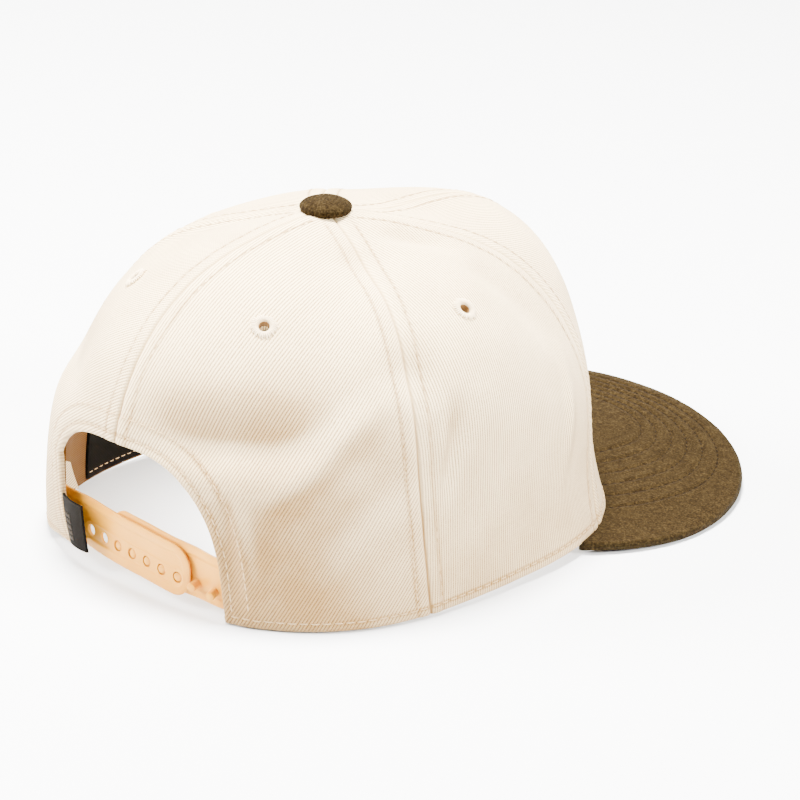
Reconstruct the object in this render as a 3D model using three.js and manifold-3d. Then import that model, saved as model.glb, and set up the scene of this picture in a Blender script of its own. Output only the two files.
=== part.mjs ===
// A snapback cap: six cloth panels, a stitched brim, a covered button, embroidered eyelets,
// a sweatband with a sewn-in label, a flag tag, and a two-piece snap strap across the back opening.
// Millimetres, +Z up. The wearer faces -Y and the wearer's left is +X. The cap rests on its rim.
// A bearing is an angle about the button's axis: 0 at the back, positive to the wearer's right.
// A rise is an angle above the rim, seen from the middle of the rim.

import * as THREE from 'three';
import { mergeVertices } from 'three/addons/utils/BufferGeometryUtils.js';
import Module from 'manifold-3d';

const wasm = await Module();
wasm.setup();

// Driving dimensions
const GAP = 0.3;
const PANEL_WALL = 1.8;
const RIM_LEVEL_TO = 50;
const RIM_FRONT_RISE = 6.2;
const TOP_HOLE_RADIUS = 4;

// Reach of the crown's outer face from the middle of the rim, one row for each rise in degrees
const CROWN_ROWS = [
  { rise: 0, back: 86, backCorner: 91.5, side: 82.5, frontCorner: 97, front: 98 },
  { rise: 15, back: 93, backCorner: 93.5, side: 82, frontCorner: 91.5, front: 96.5 },
  { rise: 30, back: 105.5, backCorner: 100.5, side: 91, frontCorner: 102.5, front: 106 },
  { rise: 45, back: 114, backCorner: 105.5, side: 106, frontCorner: 108, front: 128 },
  { rise: 60, back: 115.5, backCorner: 110, side: 111, frontCorner: 113.5, front: 121 },
  { rise: 75, back: 110.5, backCorner: 107, side: 107, frontCorner: 110, front: 104 },
  { rise: 90, back: 110.5, backCorner: 110.5, side: 110.5, frontCorner: 110.5, front: 110.5 },
];

// Each seam's bearing at the rim, and how far it bows forward halfway up
const SEAMS = {
  back: { bearing: 0, bow: 0 },
  side: { bearing: 71, bow: -3 },
  front: { bearing: 127.5, bow: 10 },
  centreFront: { bearing: 180, bow: 0 },
};

const OPENING_WIDTH = 82;
const OPENING_HEIGHT = 51.5;
const OPENING_SQUARENESS = 2.8;
const LEFT_LEG_LAP = 12;
const LEFT_LEG_LAP_TOP = 36;
const LEFT_LEG_LAP_POWER = 0.6;

// The left leg's foot stands off the surface the cap rests on, down to nothing at the second bearing
const LEFT_LEG_LIFT = { height: 5, from: 20, to: 42 };

// Dents (depth above 0) and ridges (below 0) of the crown, with negative bearings on the wearer's left
const FOLDS = [
  { bearing: 27, height: 56, halfLength: 27, below: 7, above: 13, slant: -3, depth: 2.8 },
  { bearing: 59, height: 50, halfLength: 16, below: 6, above: 8, slant: -31, depth: 0.3 },
  { bearing: 47, height: 56, halfLength: 22, below: 5, above: 6, slant: 42, depth: -1.3 },
  { bearing: 54, height: 37, halfLength: 18, below: 7, above: 7, slant: 42, depth: 0.6 },
  { bearing: -35, height: 62, halfLength: 24, below: 8, above: 18, slant: -6, depth: 1.7 },
  { bearing: -95, height: 62, halfLength: 20, below: 8, above: 14, slant: 25, depth: 1.3 },
];

const EYELETS = [
  { name: 'eyelet_back', bearing: 29, height: 90 },
  { name: 'eyelet_side', bearing: 94, height: 90 },
];
const EYELET_RADIUS = 4;
const EYELET_HOLE_RADIUS = 1.8;
const EYELET_RAISE = 0.9;

const BRIM = {
  cornerBearing: 119.5,
  cornerOverhang: 2,
  halfWidth: 94.5,
  widestY: 82.5,
  tipY: 165.5,
  squareness: 1.95,
  thickness: 3,
  cornerTop: 4.2,
  sideTop: 3.1,
  tipTop: 7,
};

const BRIM_GAP = 0.75;

const BUTTON_RADIUS = 8.75;
const BUTTON_HEIGHT = 4.2;
const BUTTON_LIFT = 0.85;

const BAND = { end: 31, height: 33.4, foot: 1.4, depth: 2.4, thickness: 1.2, lap: 2, lapUntil: 38, lapFade: 8 };
const LABEL = { from: -61, to: -97, foot: 2.6, height: 28.6, thickness: 1 };

const STRAP = { foot: 3.6, tilt: 0.035, height: 17.4, thickness: 1.3, arcRadius: 86, hiddenEnd: 36 };
const STRAP_UPRIGHT_FROM = 28;
const STRAP_UPRIGHT_FADE = 14;
const PEG_STRAP_RAISE = 1.2;

// Depth of the strap's outer face under the crown's outer face, from the wearer's left to the right
const STRAP_PLAN = [
  { bearing: -36, depth: 2.4 },
  { bearing: -28, depth: 2.6 },
  { bearing: -18, depth: 4.9 },
  { bearing: 0, depth: 4.9 },
  { bearing: 17, depth: 3.3 },
  { bearing: 27, depth: 2.5 },
  { bearing: 36, depth: 2.4 },
];
const HOLE_STRAP_END = -26.2;
const PEG_STRAP_END = 15;
const STRAP_CORNER_SHARE = 0.42;
const STRAP_STEP_OUT = 14;
const PEG_PITCH = 7.7;
const FIRST_HOLE = 25.5;
const HOLE_COUNT = 7;
const FIRST_PEG = FIRST_HOLE - 2 * PEG_PITCH;
const PEG_COUNT = 7;
const HOLE_HEIGHT = 6.3;
const HOLE_RADIUS = 2;
const PEG_RADIUS = 1.45;
const PEG_STANDS_OUT = 0.8;

const TAG = { freeEdge: 20.2, foot: 5.6, height: 17, thickness: 1 };

// Facets
const PANEL_COLUMNS = 10;
const PANEL_RISES = 16;
const BRIM_COLUMNS = 44;
const BRIM_ROWS = 4;
const BAND_COLUMNS = 60;
const LABEL_COLUMNS = 10;
const STRAP_COLUMNS = 16;
const STRAP_CORNER_COLUMNS = 5;
const ROD_SIDES = 16;
const SMALL_ROUND = 20;
const OPENING_STEPS = 20;

const rad = THREE.MathUtils.degToRad;
const smooth = (x, from, to) => THREE.MathUtils.smoothstep(x, from, to);

// Crown surface
const COLUMN_NAMES = ['back', 'backCorner', 'side', 'frontCorner', 'front'];

// Cosine series that passes through a row's five reaches, from back to front
function cosineSeries(row) {
  const values = COLUMN_NAMES.map((name) => row[name]);
  const last = values.length - 1;
  return values.map((_, order) => {
    const sum = values.reduce((total, value, i) => {
      const share = i === 0 || i === last ? 0.5 : 1;
      return total + share * value * Math.cos((Math.PI * order * i) / last);
    }, 0);
    return (sum * (order === 0 || order === last ? 1 : 2)) / last;
  });
}

const CROWN_SERIES = CROWN_ROWS.map(cosineSeries);

function rowReach(index, bearing) {
  return CROWN_SERIES[index].reduce((sum, term, order) => sum + term * Math.cos(order * rad(bearing)), 0);
}

// Rows past the button are the far side's, and rows below the rim carry straight on
function paddedReach(index, bearing) {
  const last = CROWN_ROWS.length - 1;
  if (index > last) return rowReach(2 * last - index, bearing + 180);
  if (index < 0) return 2 * rowReach(0, bearing) - rowReach(1, bearing);
  return rowReach(index, bearing);
}

function reach(bearing, rise) {
  const last = CROWN_ROWS.length - 1;
  const place = THREE.MathUtils.clamp(rise / 90, 0, 1) * last;
  const base = Math.min(Math.floor(place), last - 1);
  const t = place - base;
  const weights = [
    (1 - t) ** 3 / 6,
    (3 * t ** 3 - 6 * t ** 2 + 4) / 6,
    (-3 * t ** 3 + 3 * t ** 2 + 3 * t + 1) / 6,
    t ** 3 / 6,
  ];
  return weights.reduce((sum, weight, i) => sum + weight * paddedReach(base + i - 1, bearing), 0);
}

function polar(bearing, radius, z) {
  return new THREE.Vector3(-radius * Math.sin(rad(bearing)), radius * Math.cos(rad(bearing)), z);
}

function crownPoint(bearing, rise) {
  const r = reach(bearing, rise);
  return polar(bearing, r * Math.cos(rad(rise)), r * Math.sin(rad(rise)));
}

function crownNormal(bearing, rise) {
  const step = 0.5;
  const low = Math.max(rise - step, 0);
  const high = Math.min(rise + step, 90 - step);
  const across = crownPoint(bearing + step, rise).sub(crownPoint(bearing - step, rise));
  const upward = crownPoint(bearing, high).sub(crownPoint(bearing, low));
  return across.cross(upward).normalize();
}

function riseAtHeight(bearing, z) {
  let rise = 0;
  for (let i = 0; i < 12; i += 1) {
    rise = THREE.MathUtils.radToDeg(Math.asin(THREE.MathUtils.clamp(z / reach(bearing, rise), 0, 0.999)));
  }
  return rise;
}

function radiusAtHeight(bearing, z) {
  const rise = riseAtHeight(bearing, z);
  return reach(bearing, rise) * Math.cos(rad(rise));
}

function riseAtRadius(bearing, radius) {
  let low = 45;
  let high = 90;
  for (let i = 0; i < 20; i += 1) {
    const middle = (low + high) / 2;
    if (reach(bearing, middle) * Math.cos(rad(middle)) > radius) low = middle;
    else high = middle;
  }
  return low;
}

function rimHeight(bearing) {
  const turn = bearing > 180 ? bearing - 360 : bearing;
  const left = 1 - smooth(-turn, LEFT_LEG_LIFT.from, LEFT_LEG_LIFT.to);
  const lift = turn < 0 ? LEFT_LEG_LIFT.height * left : 0;
  return lift + RIM_FRONT_RISE * smooth(Math.abs(turn), RIM_LEVEL_TO, 180);
}

// Mesh helpers
function closedGrid(front, back) {
  const rows = front.length;
  const columns = front[0].length;
  const positions = [];
  [front, back].forEach((face) => face.forEach((row) => row.forEach((p) => positions.push(p.x, p.y, p.z))));
  const at = (side, i, j) => side * rows * columns + i * columns + j;
  const index = [];
  const quad = (a, b, c, d) => index.push(a, b, c, a, c, d);
  for (let i = 0; i < rows - 1; i += 1) {
    for (let j = 0; j < columns - 1; j += 1) {
      quad(at(0, i, j), at(0, i, j + 1), at(0, i + 1, j + 1), at(0, i + 1, j));
      quad(at(1, i, j), at(1, i + 1, j), at(1, i + 1, j + 1), at(1, i, j + 1));
    }
  }
  for (let j = 0; j < columns - 1; j += 1) {
    quad(at(1, 0, j), at(1, 0, j + 1), at(0, 0, j + 1), at(0, 0, j));
    quad(at(0, rows - 1, j), at(0, rows - 1, j + 1), at(1, rows - 1, j + 1), at(1, rows - 1, j));
  }
  for (let i = 0; i < rows - 1; i += 1) {
    quad(at(0, i, 0), at(0, i + 1, 0), at(1, i + 1, 0), at(1, i, 0));
    quad(at(1, i, columns - 1), at(1, i + 1, columns - 1), at(0, i + 1, columns - 1), at(0, i, columns - 1));
  }
  const geometry = new THREE.BufferGeometry();
  geometry.setAttribute('position', new THREE.Float32BufferAttribute(positions, 3));
  geometry.setIndex(index);
  return geometry;
}

function bare(geometry) {
  const copy = geometry.clone();
  copy.deleteAttribute('normal');
  copy.deleteAttribute('uv');
  return mergeVertices(copy, 1e-3);
}

function toManifold(geometry) {
  const merged = bare(geometry);
  return new wasm.Manifold(
    new wasm.Mesh({
      numProp: 3,
      vertProperties: new Float32Array(merged.attributes.position.array),
      triVerts: new Uint32Array(merged.index.array),
    }),
  );
}

function fromManifold(manifold) {
  const mesh = manifold.getMesh();
  const geometry = new THREE.BufferGeometry();
  geometry.setAttribute('position', new THREE.Float32BufferAttribute(mesh.vertProperties, 3));
  geometry.setIndex(Array.from(mesh.triVerts));
  return geometry;
}

// Crown panels
function seamBearing(seam, rise) {
  return seam.bearing + seam.bow * Math.sin(2 * rad(rise));
}

function foldDepth(bearing, rise) {
  return FOLDS.reduce((total, fold) => {
    const far = reach(bearing, rise);
    const across = rad(bearing - fold.bearing) * far * Math.cos(rad(rise));
    const upward = rad(rise - riseAtHeight(fold.bearing, fold.height)) * far;
    const turn = rad(fold.slant);
    const run = across * Math.cos(turn) + upward * Math.sin(turn);
    const off = upward * Math.cos(turn) - across * Math.sin(turn);
    const width = off < 0 ? fold.below : fold.above;
    return total + fold.depth * Math.exp(-((run / fold.halfLength) ** 4) - (off / width) ** 2);
  }, 0);
}

function panelPoint(from, to, share, rise, depth) {
  const start = seamBearing(from, rise);
  const end = seamBearing(to, rise);
  const bearing = start + (end - start) * share;
  const point = crownPoint(bearing, rise);
  const radius = Math.hypot(point.x, point.y);
  const inset = THREE.MathUtils.radToDeg(GAP / 2 / radius) * (1 - 2 * share);
  const under = depth + foldDepth(bearing, rise);
  return crownPoint(bearing + inset, rise).addScaledVector(crownNormal(bearing, rise), -under);
}

function panelFace(from, to, depth) {
  const face = [];
  for (let i = 0; i <= PANEL_RISES; i += 1) {
    const row = [];
    for (let j = 0; j <= PANEL_COLUMNS; j += 1) {
      const share = j / PANEL_COLUMNS;
      const bearing = from.bearing + (to.bearing - from.bearing) * share;
      const foot = riseAtHeight(bearing, rimHeight(bearing));
      const top = riseAtRadius(bearing, TOP_HOLE_RADIUS + depth);
      const point = panelPoint(from, to, share, foot + ((top - foot) * i) / PANEL_RISES, depth);
      if (i === 0) point.z = rimHeight(bearing);
      row.push(point);
    }
    face.push(row);
  }
  return face;
}

function leftLegLap(z) {
  return LEFT_LEG_LAP * THREE.MathUtils.clamp(1 - z / LEFT_LEG_LAP_TOP, 0, 1) ** LEFT_LEG_LAP_POWER;
}

// The left leg's edge beside the opening, measured from the back seam
function leftLegEdge(z) {
  const share = 1 - (z / OPENING_HEIGHT) ** OPENING_SQUARENESS;
  return (OPENING_WIDTH / 2) * share ** (1 / OPENING_SQUARENESS) - leftLegLap(z);
}

function openingCutter() {
  const half = OPENING_WIDTH / 2;
  const power = 2 / OPENING_SQUARENESS;
  const below = -10;
  const shape = new THREE.Shape();
  shape.moveTo(-half, below);
  for (let i = 0; i <= OPENING_STEPS; i += 1) {
    const t = (Math.PI * i) / OPENING_STEPS;
    const z = OPENING_HEIGHT * Math.sin(t) ** power;
    const side = -Math.sign(Math.cos(t)) * Math.abs(Math.cos(t)) ** power * half;
    shape.lineTo(side - (side > 0 ? leftLegLap(z) : 0), z);
  }
  shape.lineTo(half - LEFT_LEG_LAP, below);
  const cutter = new THREE.ExtrudeGeometry(shape, { depth: 90, bevelEnabled: false });
  cutter.rotateX(Math.PI / 2);
  cutter.translate(0, 130, 0);
  return toManifold(cutter);
}

// Bearing of the crown's back at a place to the wearer's left of the back seam
function backBearing(x, z) {
  let bearing = 0;
  for (let i = 0; i < 8; i += 1) {
    bearing = -THREE.MathUtils.radToDeg(Math.asin(x / radiusAtHeight(bearing, z)));
  }
  return bearing;
}

function placeOnCrown(object, bearing, height, lift) {
  const rise = riseAtHeight(bearing, height);
  const normal = crownNormal(bearing, rise);
  object.position.copy(crownPoint(bearing, rise)).addScaledVector(normal, lift);
  object.quaternion.setFromUnitVectors(new THREE.Vector3(0, 0, 1), normal);
  object.updateMatrix();
  return object;
}

function eyeletCutter(bearing, height) {
  const length = 4 * PANEL_WALL;
  const cylinder = new THREE.CylinderGeometry(EYELET_HOLE_RADIUS, EYELET_HOLE_RADIUS, length, SMALL_ROUND);
  cylinder.rotateX(Math.PI / 2);
  const holder = placeOnCrown(new THREE.Object3D(), bearing, height, -PANEL_WALL / 2);
  cylinder.applyMatrix4(holder.matrix);
  return toManifold(cylinder);
}

function mirrored(seam) {
  return { bearing: -seam.bearing, bow: -seam.bow };
}

function panel(from, to, eyelet, cutsOpening, side) {
  const [start, end] = side === 'right' ? [from, to] : [mirrored(to), mirrored(from)];
  let solid = toManifold(closedGrid(panelFace(start, end, 0), panelFace(start, end, PANEL_WALL)));
  if (cutsOpening) solid = solid.subtract(openingCutter());
  if (eyelet) {
    const bearing = side === 'right' ? eyelet.bearing : -eyelet.bearing;
    solid = solid.subtract(eyeletCutter(bearing, eyelet.height));
  }
  return fromManifold(solid);
}

// Brim: a board between the crown's front rim and its own outline, arched and nearly level
function brimCorner() {
  const wall = radiusAtHeight(BRIM.cornerBearing, BRIM.cornerTop);
  return polar(BRIM.cornerBearing, wall + BRIM.cornerOverhang, 0);
}

function brimTop() {
  const corner = brimCorner();
  const rows = new THREE.Matrix3(
    1, corner.y, corner.x ** 2,
    1, -BRIM.widestY, BRIM.halfWidth ** 2,
    1, -BRIM.tipY, 0,
  );
  const terms = new THREE.Vector3(BRIM.cornerTop, BRIM.sideTop, BRIM.tipTop).applyMatrix3(rows.invert());
  return (x, y) => terms.x + terms.y * y + terms.z * x * x;
}

function brimOutline(share) {
  const corner = brimCorner();
  const back = Math.acos(-corner.x / BRIM.halfWidth);
  const t = -back + (Math.PI + 2 * back) * share;
  const side = t < Math.PI / 2 ? -1 : 1;
  if (t < 0 || t > Math.PI) {
    const past = t < 0 ? -t : t - Math.PI;
    const drop = (BRIM.widestY + corner.y) / Math.sin(back);
    return new THREE.Vector2(side * BRIM.halfWidth * Math.cos(past), -BRIM.widestY + drop * Math.sin(past));
  }
  const power = 2 / BRIM.squareness;
  const forward = BRIM.tipY - BRIM.widestY;
  return new THREE.Vector2(
    side * BRIM.halfWidth * Math.abs(Math.cos(t)) ** power,
    -BRIM.widestY - forward * Math.sin(t) ** power,
  );
}

function brimGeometry() {
  const top = brimTop();
  const upper = [];
  const lower = [];
  for (let i = 0; i <= BRIM_ROWS; i += 1) {
    const upperRow = [];
    const lowerRow = [];
    for (let j = 0; j <= BRIM_COLUMNS; j += 1) {
      const share = j / BRIM_COLUMNS;
      const bearing = BRIM.cornerBearing + (360 - 2 * BRIM.cornerBearing) * share;
      const wall = radiusAtHeight(bearing, rimHeight(bearing) + BRIM.thickness / 2);
      const seat = polar(bearing, wall + BRIM_GAP, 0);
      const edge = brimOutline(share);
      const x = THREE.MathUtils.lerp(seat.x, edge.x, i / BRIM_ROWS);
      const y = THREE.MathUtils.lerp(seat.y, edge.y, i / BRIM_ROWS);
      upperRow.push(new THREE.Vector3(x, y, top(x, y)));
      lowerRow.push(new THREE.Vector3(x, y, top(x, y) - BRIM.thickness));
    }
    upper.push(upperRow);
    lower.push(lowerRow);
  }
  return closedGrid(lower, upper);
}

// Button and eyelets
function buttonGeometry() {
  const profile = [new THREE.Vector2(0, 0), new THREE.Vector2(BUTTON_RADIUS * 0.94, 0)];
  const arcSteps = 7;
  for (let i = 0; i <= arcSteps; i += 1) {
    const t = (Math.PI / 2) * (i / arcSteps);
    const skirt = BUTTON_HEIGHT * 0.2;
    profile.push(
      new THREE.Vector2(BUTTON_RADIUS * Math.cos(t), skirt + (BUTTON_HEIGHT - skirt) * Math.sin(t)),
    );
  }
  profile[profile.length - 1].x = 0;
  return new THREE.LatheGeometry(profile, SMALL_ROUND).rotateX(Math.PI / 2);
}

function eyeletGeometry() {
  const middle = (EYELET_RADIUS + EYELET_HOLE_RADIUS) / 2;
  const profile = [
    new THREE.Vector2(EYELET_HOLE_RADIUS, 0),
    new THREE.Vector2(EYELET_RADIUS, 0),
    new THREE.Vector2(EYELET_RADIUS, EYELET_RAISE * 0.4),
    new THREE.Vector2(middle, EYELET_RAISE),
    new THREE.Vector2(EYELET_HOLE_RADIUS, EYELET_RAISE * 0.6),
    new THREE.Vector2(EYELET_HOLE_RADIUS, 0),
  ];
  return new THREE.LatheGeometry(profile, SMALL_ROUND).rotateX(Math.PI / 2);
}

// Bands that follow the crown's inner face: the sweatband and its label
function bandDepth(bearing) {
  const turn = Math.abs(bearing > 180 ? bearing - 360 : bearing);
  return BAND.depth + BAND.lap * (1 - smooth(turn, BAND.lapUntil, BAND.lapUntil + BAND.lapFade));
}

function bandFace(from, to, columns, foot, height, extraDepth) {
  const rows = 4;
  const face = [];
  for (let i = 0; i <= rows; i += 1) {
    const row = [];
    for (let j = 0; j <= columns; j += 1) {
      const bearing = from + ((to - from) * j) / columns;
      const z = rimHeight(bearing) + foot + (height * i) / rows;
      const dent = Math.max(foldDepth(bearing, riseAtHeight(bearing, z)), 0);
      row.push(polar(bearing, radiusAtHeight(bearing, z) - dent - bandDepth(bearing) - extraDepth, z));
    }
    face.push(row);
  }
  return face;
}

function sweatbandGeometry() {
  const faces = [0, BAND.thickness].map((depth) =>
    bandFace(BAND.end, 360 - BAND.end, BAND_COLUMNS, BAND.foot, BAND.height, depth),
  );
  return closedGrid(...faces);
}

function labelGeometry() {
  const start = BAND.thickness + GAP;
  const faces = [start, start + LABEL.thickness].map((depth) =>
    bandFace(LABEL.to, LABEL.from, LABEL_COLUMNS, LABEL.foot, LABEL.height, depth),
  );
  return closedGrid(...faces);
}

// Straps: they lie against the legs' inner faces, and stand upright and flatter between the legs
function strapDepth(bearing) {
  const next = STRAP_PLAN.findIndex((row) => bearing <= row.bearing);
  const [before, after] = [STRAP_PLAN[Math.max(next - 1, 0)], STRAP_PLAN.at(next)];
  return THREE.MathUtils.lerp(before.depth, after.depth, smooth(bearing, before.bearing, after.bearing));
}

function strapRadius(bearing, z) {
  const share = smooth(STRAP_UPRIGHT_FROM - Math.abs(bearing), 0, STRAP_UPRIGHT_FADE);
  const leaning = radiusAtHeight(bearing, z);
  const upright = radiusAtHeight(bearing, STRAP.foot);
  return THREE.MathUtils.lerp(leaning, upright, share) - strapDepth(bearing);
}

const strapBearing = (along) => -THREE.MathUtils.radToDeg(along / STRAP.arcRadius);

function strapPoint(along, height, depth) {
  const bearing = strapBearing(along);
  const z = STRAP.foot + STRAP.tilt * along + height;
  return polar(bearing, strapRadius(bearing, z) - depth, z);
}

// A strap from its square end, sewn in behind the leg, to its free end with rounded corners
function strapSheet(sewnEnd, freeEnd, raise, depthAt) {
  const turn = Math.sign(freeEnd - sewnEnd);
  const corner = STRAP.height * STRAP_CORNER_SHARE;
  const straightEnd = freeEnd - turn * corner;
  const stations = [];
  for (let i = 0; i <= STRAP_COLUMNS; i += 1) {
    stations.push({ along: sewnEnd + ((straightEnd - sewnEnd) * i) / STRAP_COLUMNS, inset: 0 });
  }
  for (let i = 1; i <= STRAP_CORNER_COLUMNS; i += 1) {
    const t = (Math.PI / 2) * (i / STRAP_CORNER_COLUMNS);
    stations.push({ along: straightEnd + turn * corner * Math.sin(t), inset: corner * (1 - Math.cos(t)) });
  }
  if (turn < 0) stations.reverse();
  const faces = [0, STRAP.thickness].map((level) =>
    [0, 1].map((top) =>
      stations.map(({ along, inset }) => {
        const height = raise + (top ? STRAP.height - inset : inset);
        return strapPoint(along, height, depthAt(along) + level);
      }),
    ),
  );
  return toManifold(closedGrid(faces[1], faces[0]));
}

// A round rod through the straps, from one depth to another
function strapRod(along, radius, fromDepth, toDepth) {
  const rod = new THREE.CylinderGeometry(radius, radius, toDepth - fromDepth, ROD_SIDES);
  rod.rotateZ(rad(strapBearing(along)));
  const middle = strapPoint(along, HOLE_HEIGHT, (fromDepth + toDepth) / 2);
  rod.translate(middle.x, middle.y, middle.z);
  return toManifold(rod);
}

const sewnAlong = rad(STRAP.hiddenEnd) * STRAP.arcRadius;

function holeStrapGeometry() {
  let solid = strapSheet(sewnAlong, HOLE_STRAP_END, 0, () => 0);
  for (let i = 0; i < HOLE_COUNT; i += 1) {
    const along = FIRST_HOLE - i * PEG_PITCH;
    solid = solid.subtract(strapRod(along, HOLE_RADIUS, -STRAP.thickness, 2 * STRAP.thickness));
  }
  return fromManifold(solid);
}

function pegStrapGeometry() {
  const behind = STRAP.thickness + GAP;
  const depthAt = (along) => behind * smooth(along, HOLE_STRAP_END - STRAP_STEP_OUT, HOLE_STRAP_END - 1);
  let solid = strapSheet(-sewnAlong, PEG_STRAP_END, PEG_STRAP_RAISE, depthAt);
  for (let i = 0; i < PEG_COUNT; i += 1) {
    const along = FIRST_PEG - i * PEG_PITCH;
    const root = depthAt(along) + STRAP.thickness / 2;
    solid = solid.add(strapRod(along, PEG_RADIUS, root - behind - PEG_STANDS_OUT, root));
  }
  return fromManifold(solid);
}

// Flag tag sewn to the edge of the left leg, with its free side upright
function tagGeometry() {
  const columns = 6;
  const rows = 4;
  const faces = [0, TAG.thickness].map((depth) => {
    const face = [];
    for (let i = 0; i <= rows; i += 1) {
      const row = [];
      for (let j = 0; j <= columns; j += 1) {
        const share = j / columns;
        const z = TAG.foot + (TAG.height * i) / rows;
        const x = THREE.MathUtils.lerp(TAG.freeEdge, leftLegEdge(z) - GAP, share);
        const bearing = backBearing(x, z);
        row.push(polar(bearing, radiusAtHeight(bearing, z) - depth, z));
      }
      face.push(row);
    }
    return face.map((row) => row.reverse());
  });
  return closedGrid(...faces);
}

// Materials
const CREAM = { color: 0xf1e4d3, roughness: 0.95 };
const BROWN = { color: 0x6b5130, roughness: 0.95 };
const PEACH = { color: 0xf6cfa4, roughness: 0.4 };
const TAN = { color: 0xc08a52, roughness: 0.9 };
const BLACK = { color: 0x17161a, roughness: 0.85 };

const cap = new THREE.Group();

function addPiece(name, geometry, look) {
  const mesh = new THREE.Mesh(geometry, new THREE.MeshStandardMaterial({ ...look, metalness: 0 }));
  mesh.name = name;
  cap.add(mesh);
  return mesh;
}

for (const side of ['right', 'left']) {
  const [backEyelet, sideEyelet] = EYELETS;
  addPiece(`crown_back_${side}`, panel(SEAMS.back, SEAMS.side, backEyelet, true, side), CREAM);
  addPiece(`crown_side_${side}`, panel(SEAMS.side, SEAMS.front, sideEyelet, false, side), CREAM);
  addPiece(`crown_front_${side}`, panel(SEAMS.front, SEAMS.centreFront, null, false, side), CREAM);
  for (const eyelet of EYELETS) {
    const bearing = side === 'right' ? eyelet.bearing : -eyelet.bearing;
    const ring = addPiece(`${eyelet.name}_${side}`, bare(eyeletGeometry()), CREAM);
    placeOnCrown(ring, bearing, eyelet.height, GAP);
  }
}
addPiece('brim', brimGeometry(), BROWN);
const button = addPiece('button', bare(buttonGeometry()), BROWN);
button.position.z = crownPoint(0, 90).z + BUTTON_LIFT;
addPiece('sweatband', sweatbandGeometry(), TAN);
addPiece('inside_label', labelGeometry(), BLACK);
addPiece('side_tag', tagGeometry(), BLACK);
addPiece('strap_with_holes', holeStrapGeometry(), PEACH);
addPiece('strap_with_pegs', pegStrapGeometry(), PEACH);

// The origin is the bottom centre of the whole cap
const box = new THREE.Box3().setFromObject(cap);
const centre = box.getCenter(new THREE.Vector3());
cap.position.set(-centre.x, -centre.y, -box.min.z);

export default cap;
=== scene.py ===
"""A snapback cap of cream twill with a brown wool brim, resting on a pale floor.

Lengths are millimetres about the button's axis until a mesh is made. The wearer faces -Y.
A bearing is an angle about the button's axis: 0 at the back, positive to the wearer's right.
A rise is an angle above the rim, seen from the middle of the rim.
"""
import math
from types import SimpleNamespace as Sizes

import bpy
import numpy as np
from mathutils import Matrix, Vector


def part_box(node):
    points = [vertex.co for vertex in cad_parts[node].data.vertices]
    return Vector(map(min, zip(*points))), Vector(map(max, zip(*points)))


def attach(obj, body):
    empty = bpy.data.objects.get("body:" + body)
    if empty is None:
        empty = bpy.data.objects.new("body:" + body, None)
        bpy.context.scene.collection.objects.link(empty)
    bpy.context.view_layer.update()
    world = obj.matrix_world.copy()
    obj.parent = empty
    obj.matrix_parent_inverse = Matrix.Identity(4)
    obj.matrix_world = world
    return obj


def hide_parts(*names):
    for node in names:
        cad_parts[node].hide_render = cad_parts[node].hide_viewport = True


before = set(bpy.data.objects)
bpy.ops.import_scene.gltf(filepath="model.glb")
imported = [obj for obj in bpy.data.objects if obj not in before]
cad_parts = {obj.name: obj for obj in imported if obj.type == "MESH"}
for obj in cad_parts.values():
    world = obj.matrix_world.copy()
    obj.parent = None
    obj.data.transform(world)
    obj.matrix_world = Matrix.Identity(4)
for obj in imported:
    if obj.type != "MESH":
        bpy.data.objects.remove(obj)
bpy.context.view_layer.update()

BUTTON_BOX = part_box("button")
MM = 0.001
AXIS_Y = (BUTTON_BOX[0][1] + BUTTON_BOX[1][1]) / 2 / MM
UP = np.array([0.0, 0, 1])

# Crown: reach of the outer face from the middle of the rim
CROWN_ROWS = [
    # rise, back, back corner, side, front corner, front
    (0, 86, 91.5, 82.5, 97, 98),
    (15, 93, 93.5, 82, 91.5, 96.5),
    (30, 105.5, 100.5, 91, 102.5, 106),
    (45, 114, 105.5, 106, 108, 128),
    (60, 115.5, 110, 111, 113.5, 121),
    (75, 110.5, 107, 107, 110, 104),
    (90, 110.5, 110.5, 110.5, 110.5, 110.5),
]
RIM_LEVEL_TO = 50
RIM_FRONT_RISE = 6.2
TOP_HOLE_RADIUS = 4
WALL = 1.8

# Seams: bearing at the rim, and how far each bows forward halfway up
BACK_SEAM = (0, 0)
SIDE_SEAM = (71, -3)
FRONT_SEAM = (127.5, 10)
CENTRE_SEAM = (180, 0)

OPENING_HALF = 41
OPENING_HEIGHT = 51.5
OPENING_SQUARENESS = 2.8
LEFT_LEG_LAP = Sizes(width=12, top=36, power=0.6)
LEFT_LEG_LIFT = Sizes(height=5, start=20, end=42, top=22)

# Sewing
SEAM_OVERLAP = 0.12
SEAM_ROW = 4.8
RIM_ROW = 3.0
OPENING_ROWS = (3.0, 9.0)
STITCH_LENGTH = 3.0
STITCH_GAP = 0.7
THREAD_RADIUS = 0.22

# Eyelets: bearing and height of each
EYELETS = {"eyelet_back": (29, 90.8), "eyelet_side": (94, 90.8)}
EYELET_CUT = 2.7

# Fineness
CLOTH_STEP = 1.15
EDGE_STEPS = [0, 0.25, 0.5, 0.8, 1.15, 1.6, 2.1, 2.7, 3.4, 4.2, 5.1, 6.1]


def smooth(x, start, end):
    t = np.clip((np.asarray(x, float) - start) / (end - start), 0, 1)
    return t * t * (3 - 2 * t)


def bell(distance, width):
    return np.exp(-((distance / width) ** 2))


def turned(across, upward, degrees):
    """Two axes, or places along them, turned by an angle."""
    turn = math.radians(degrees)
    return (
        across * math.cos(turn) + upward * math.sin(turn),
        upward * math.cos(turn) - across * math.sin(turn),
    )


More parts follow.
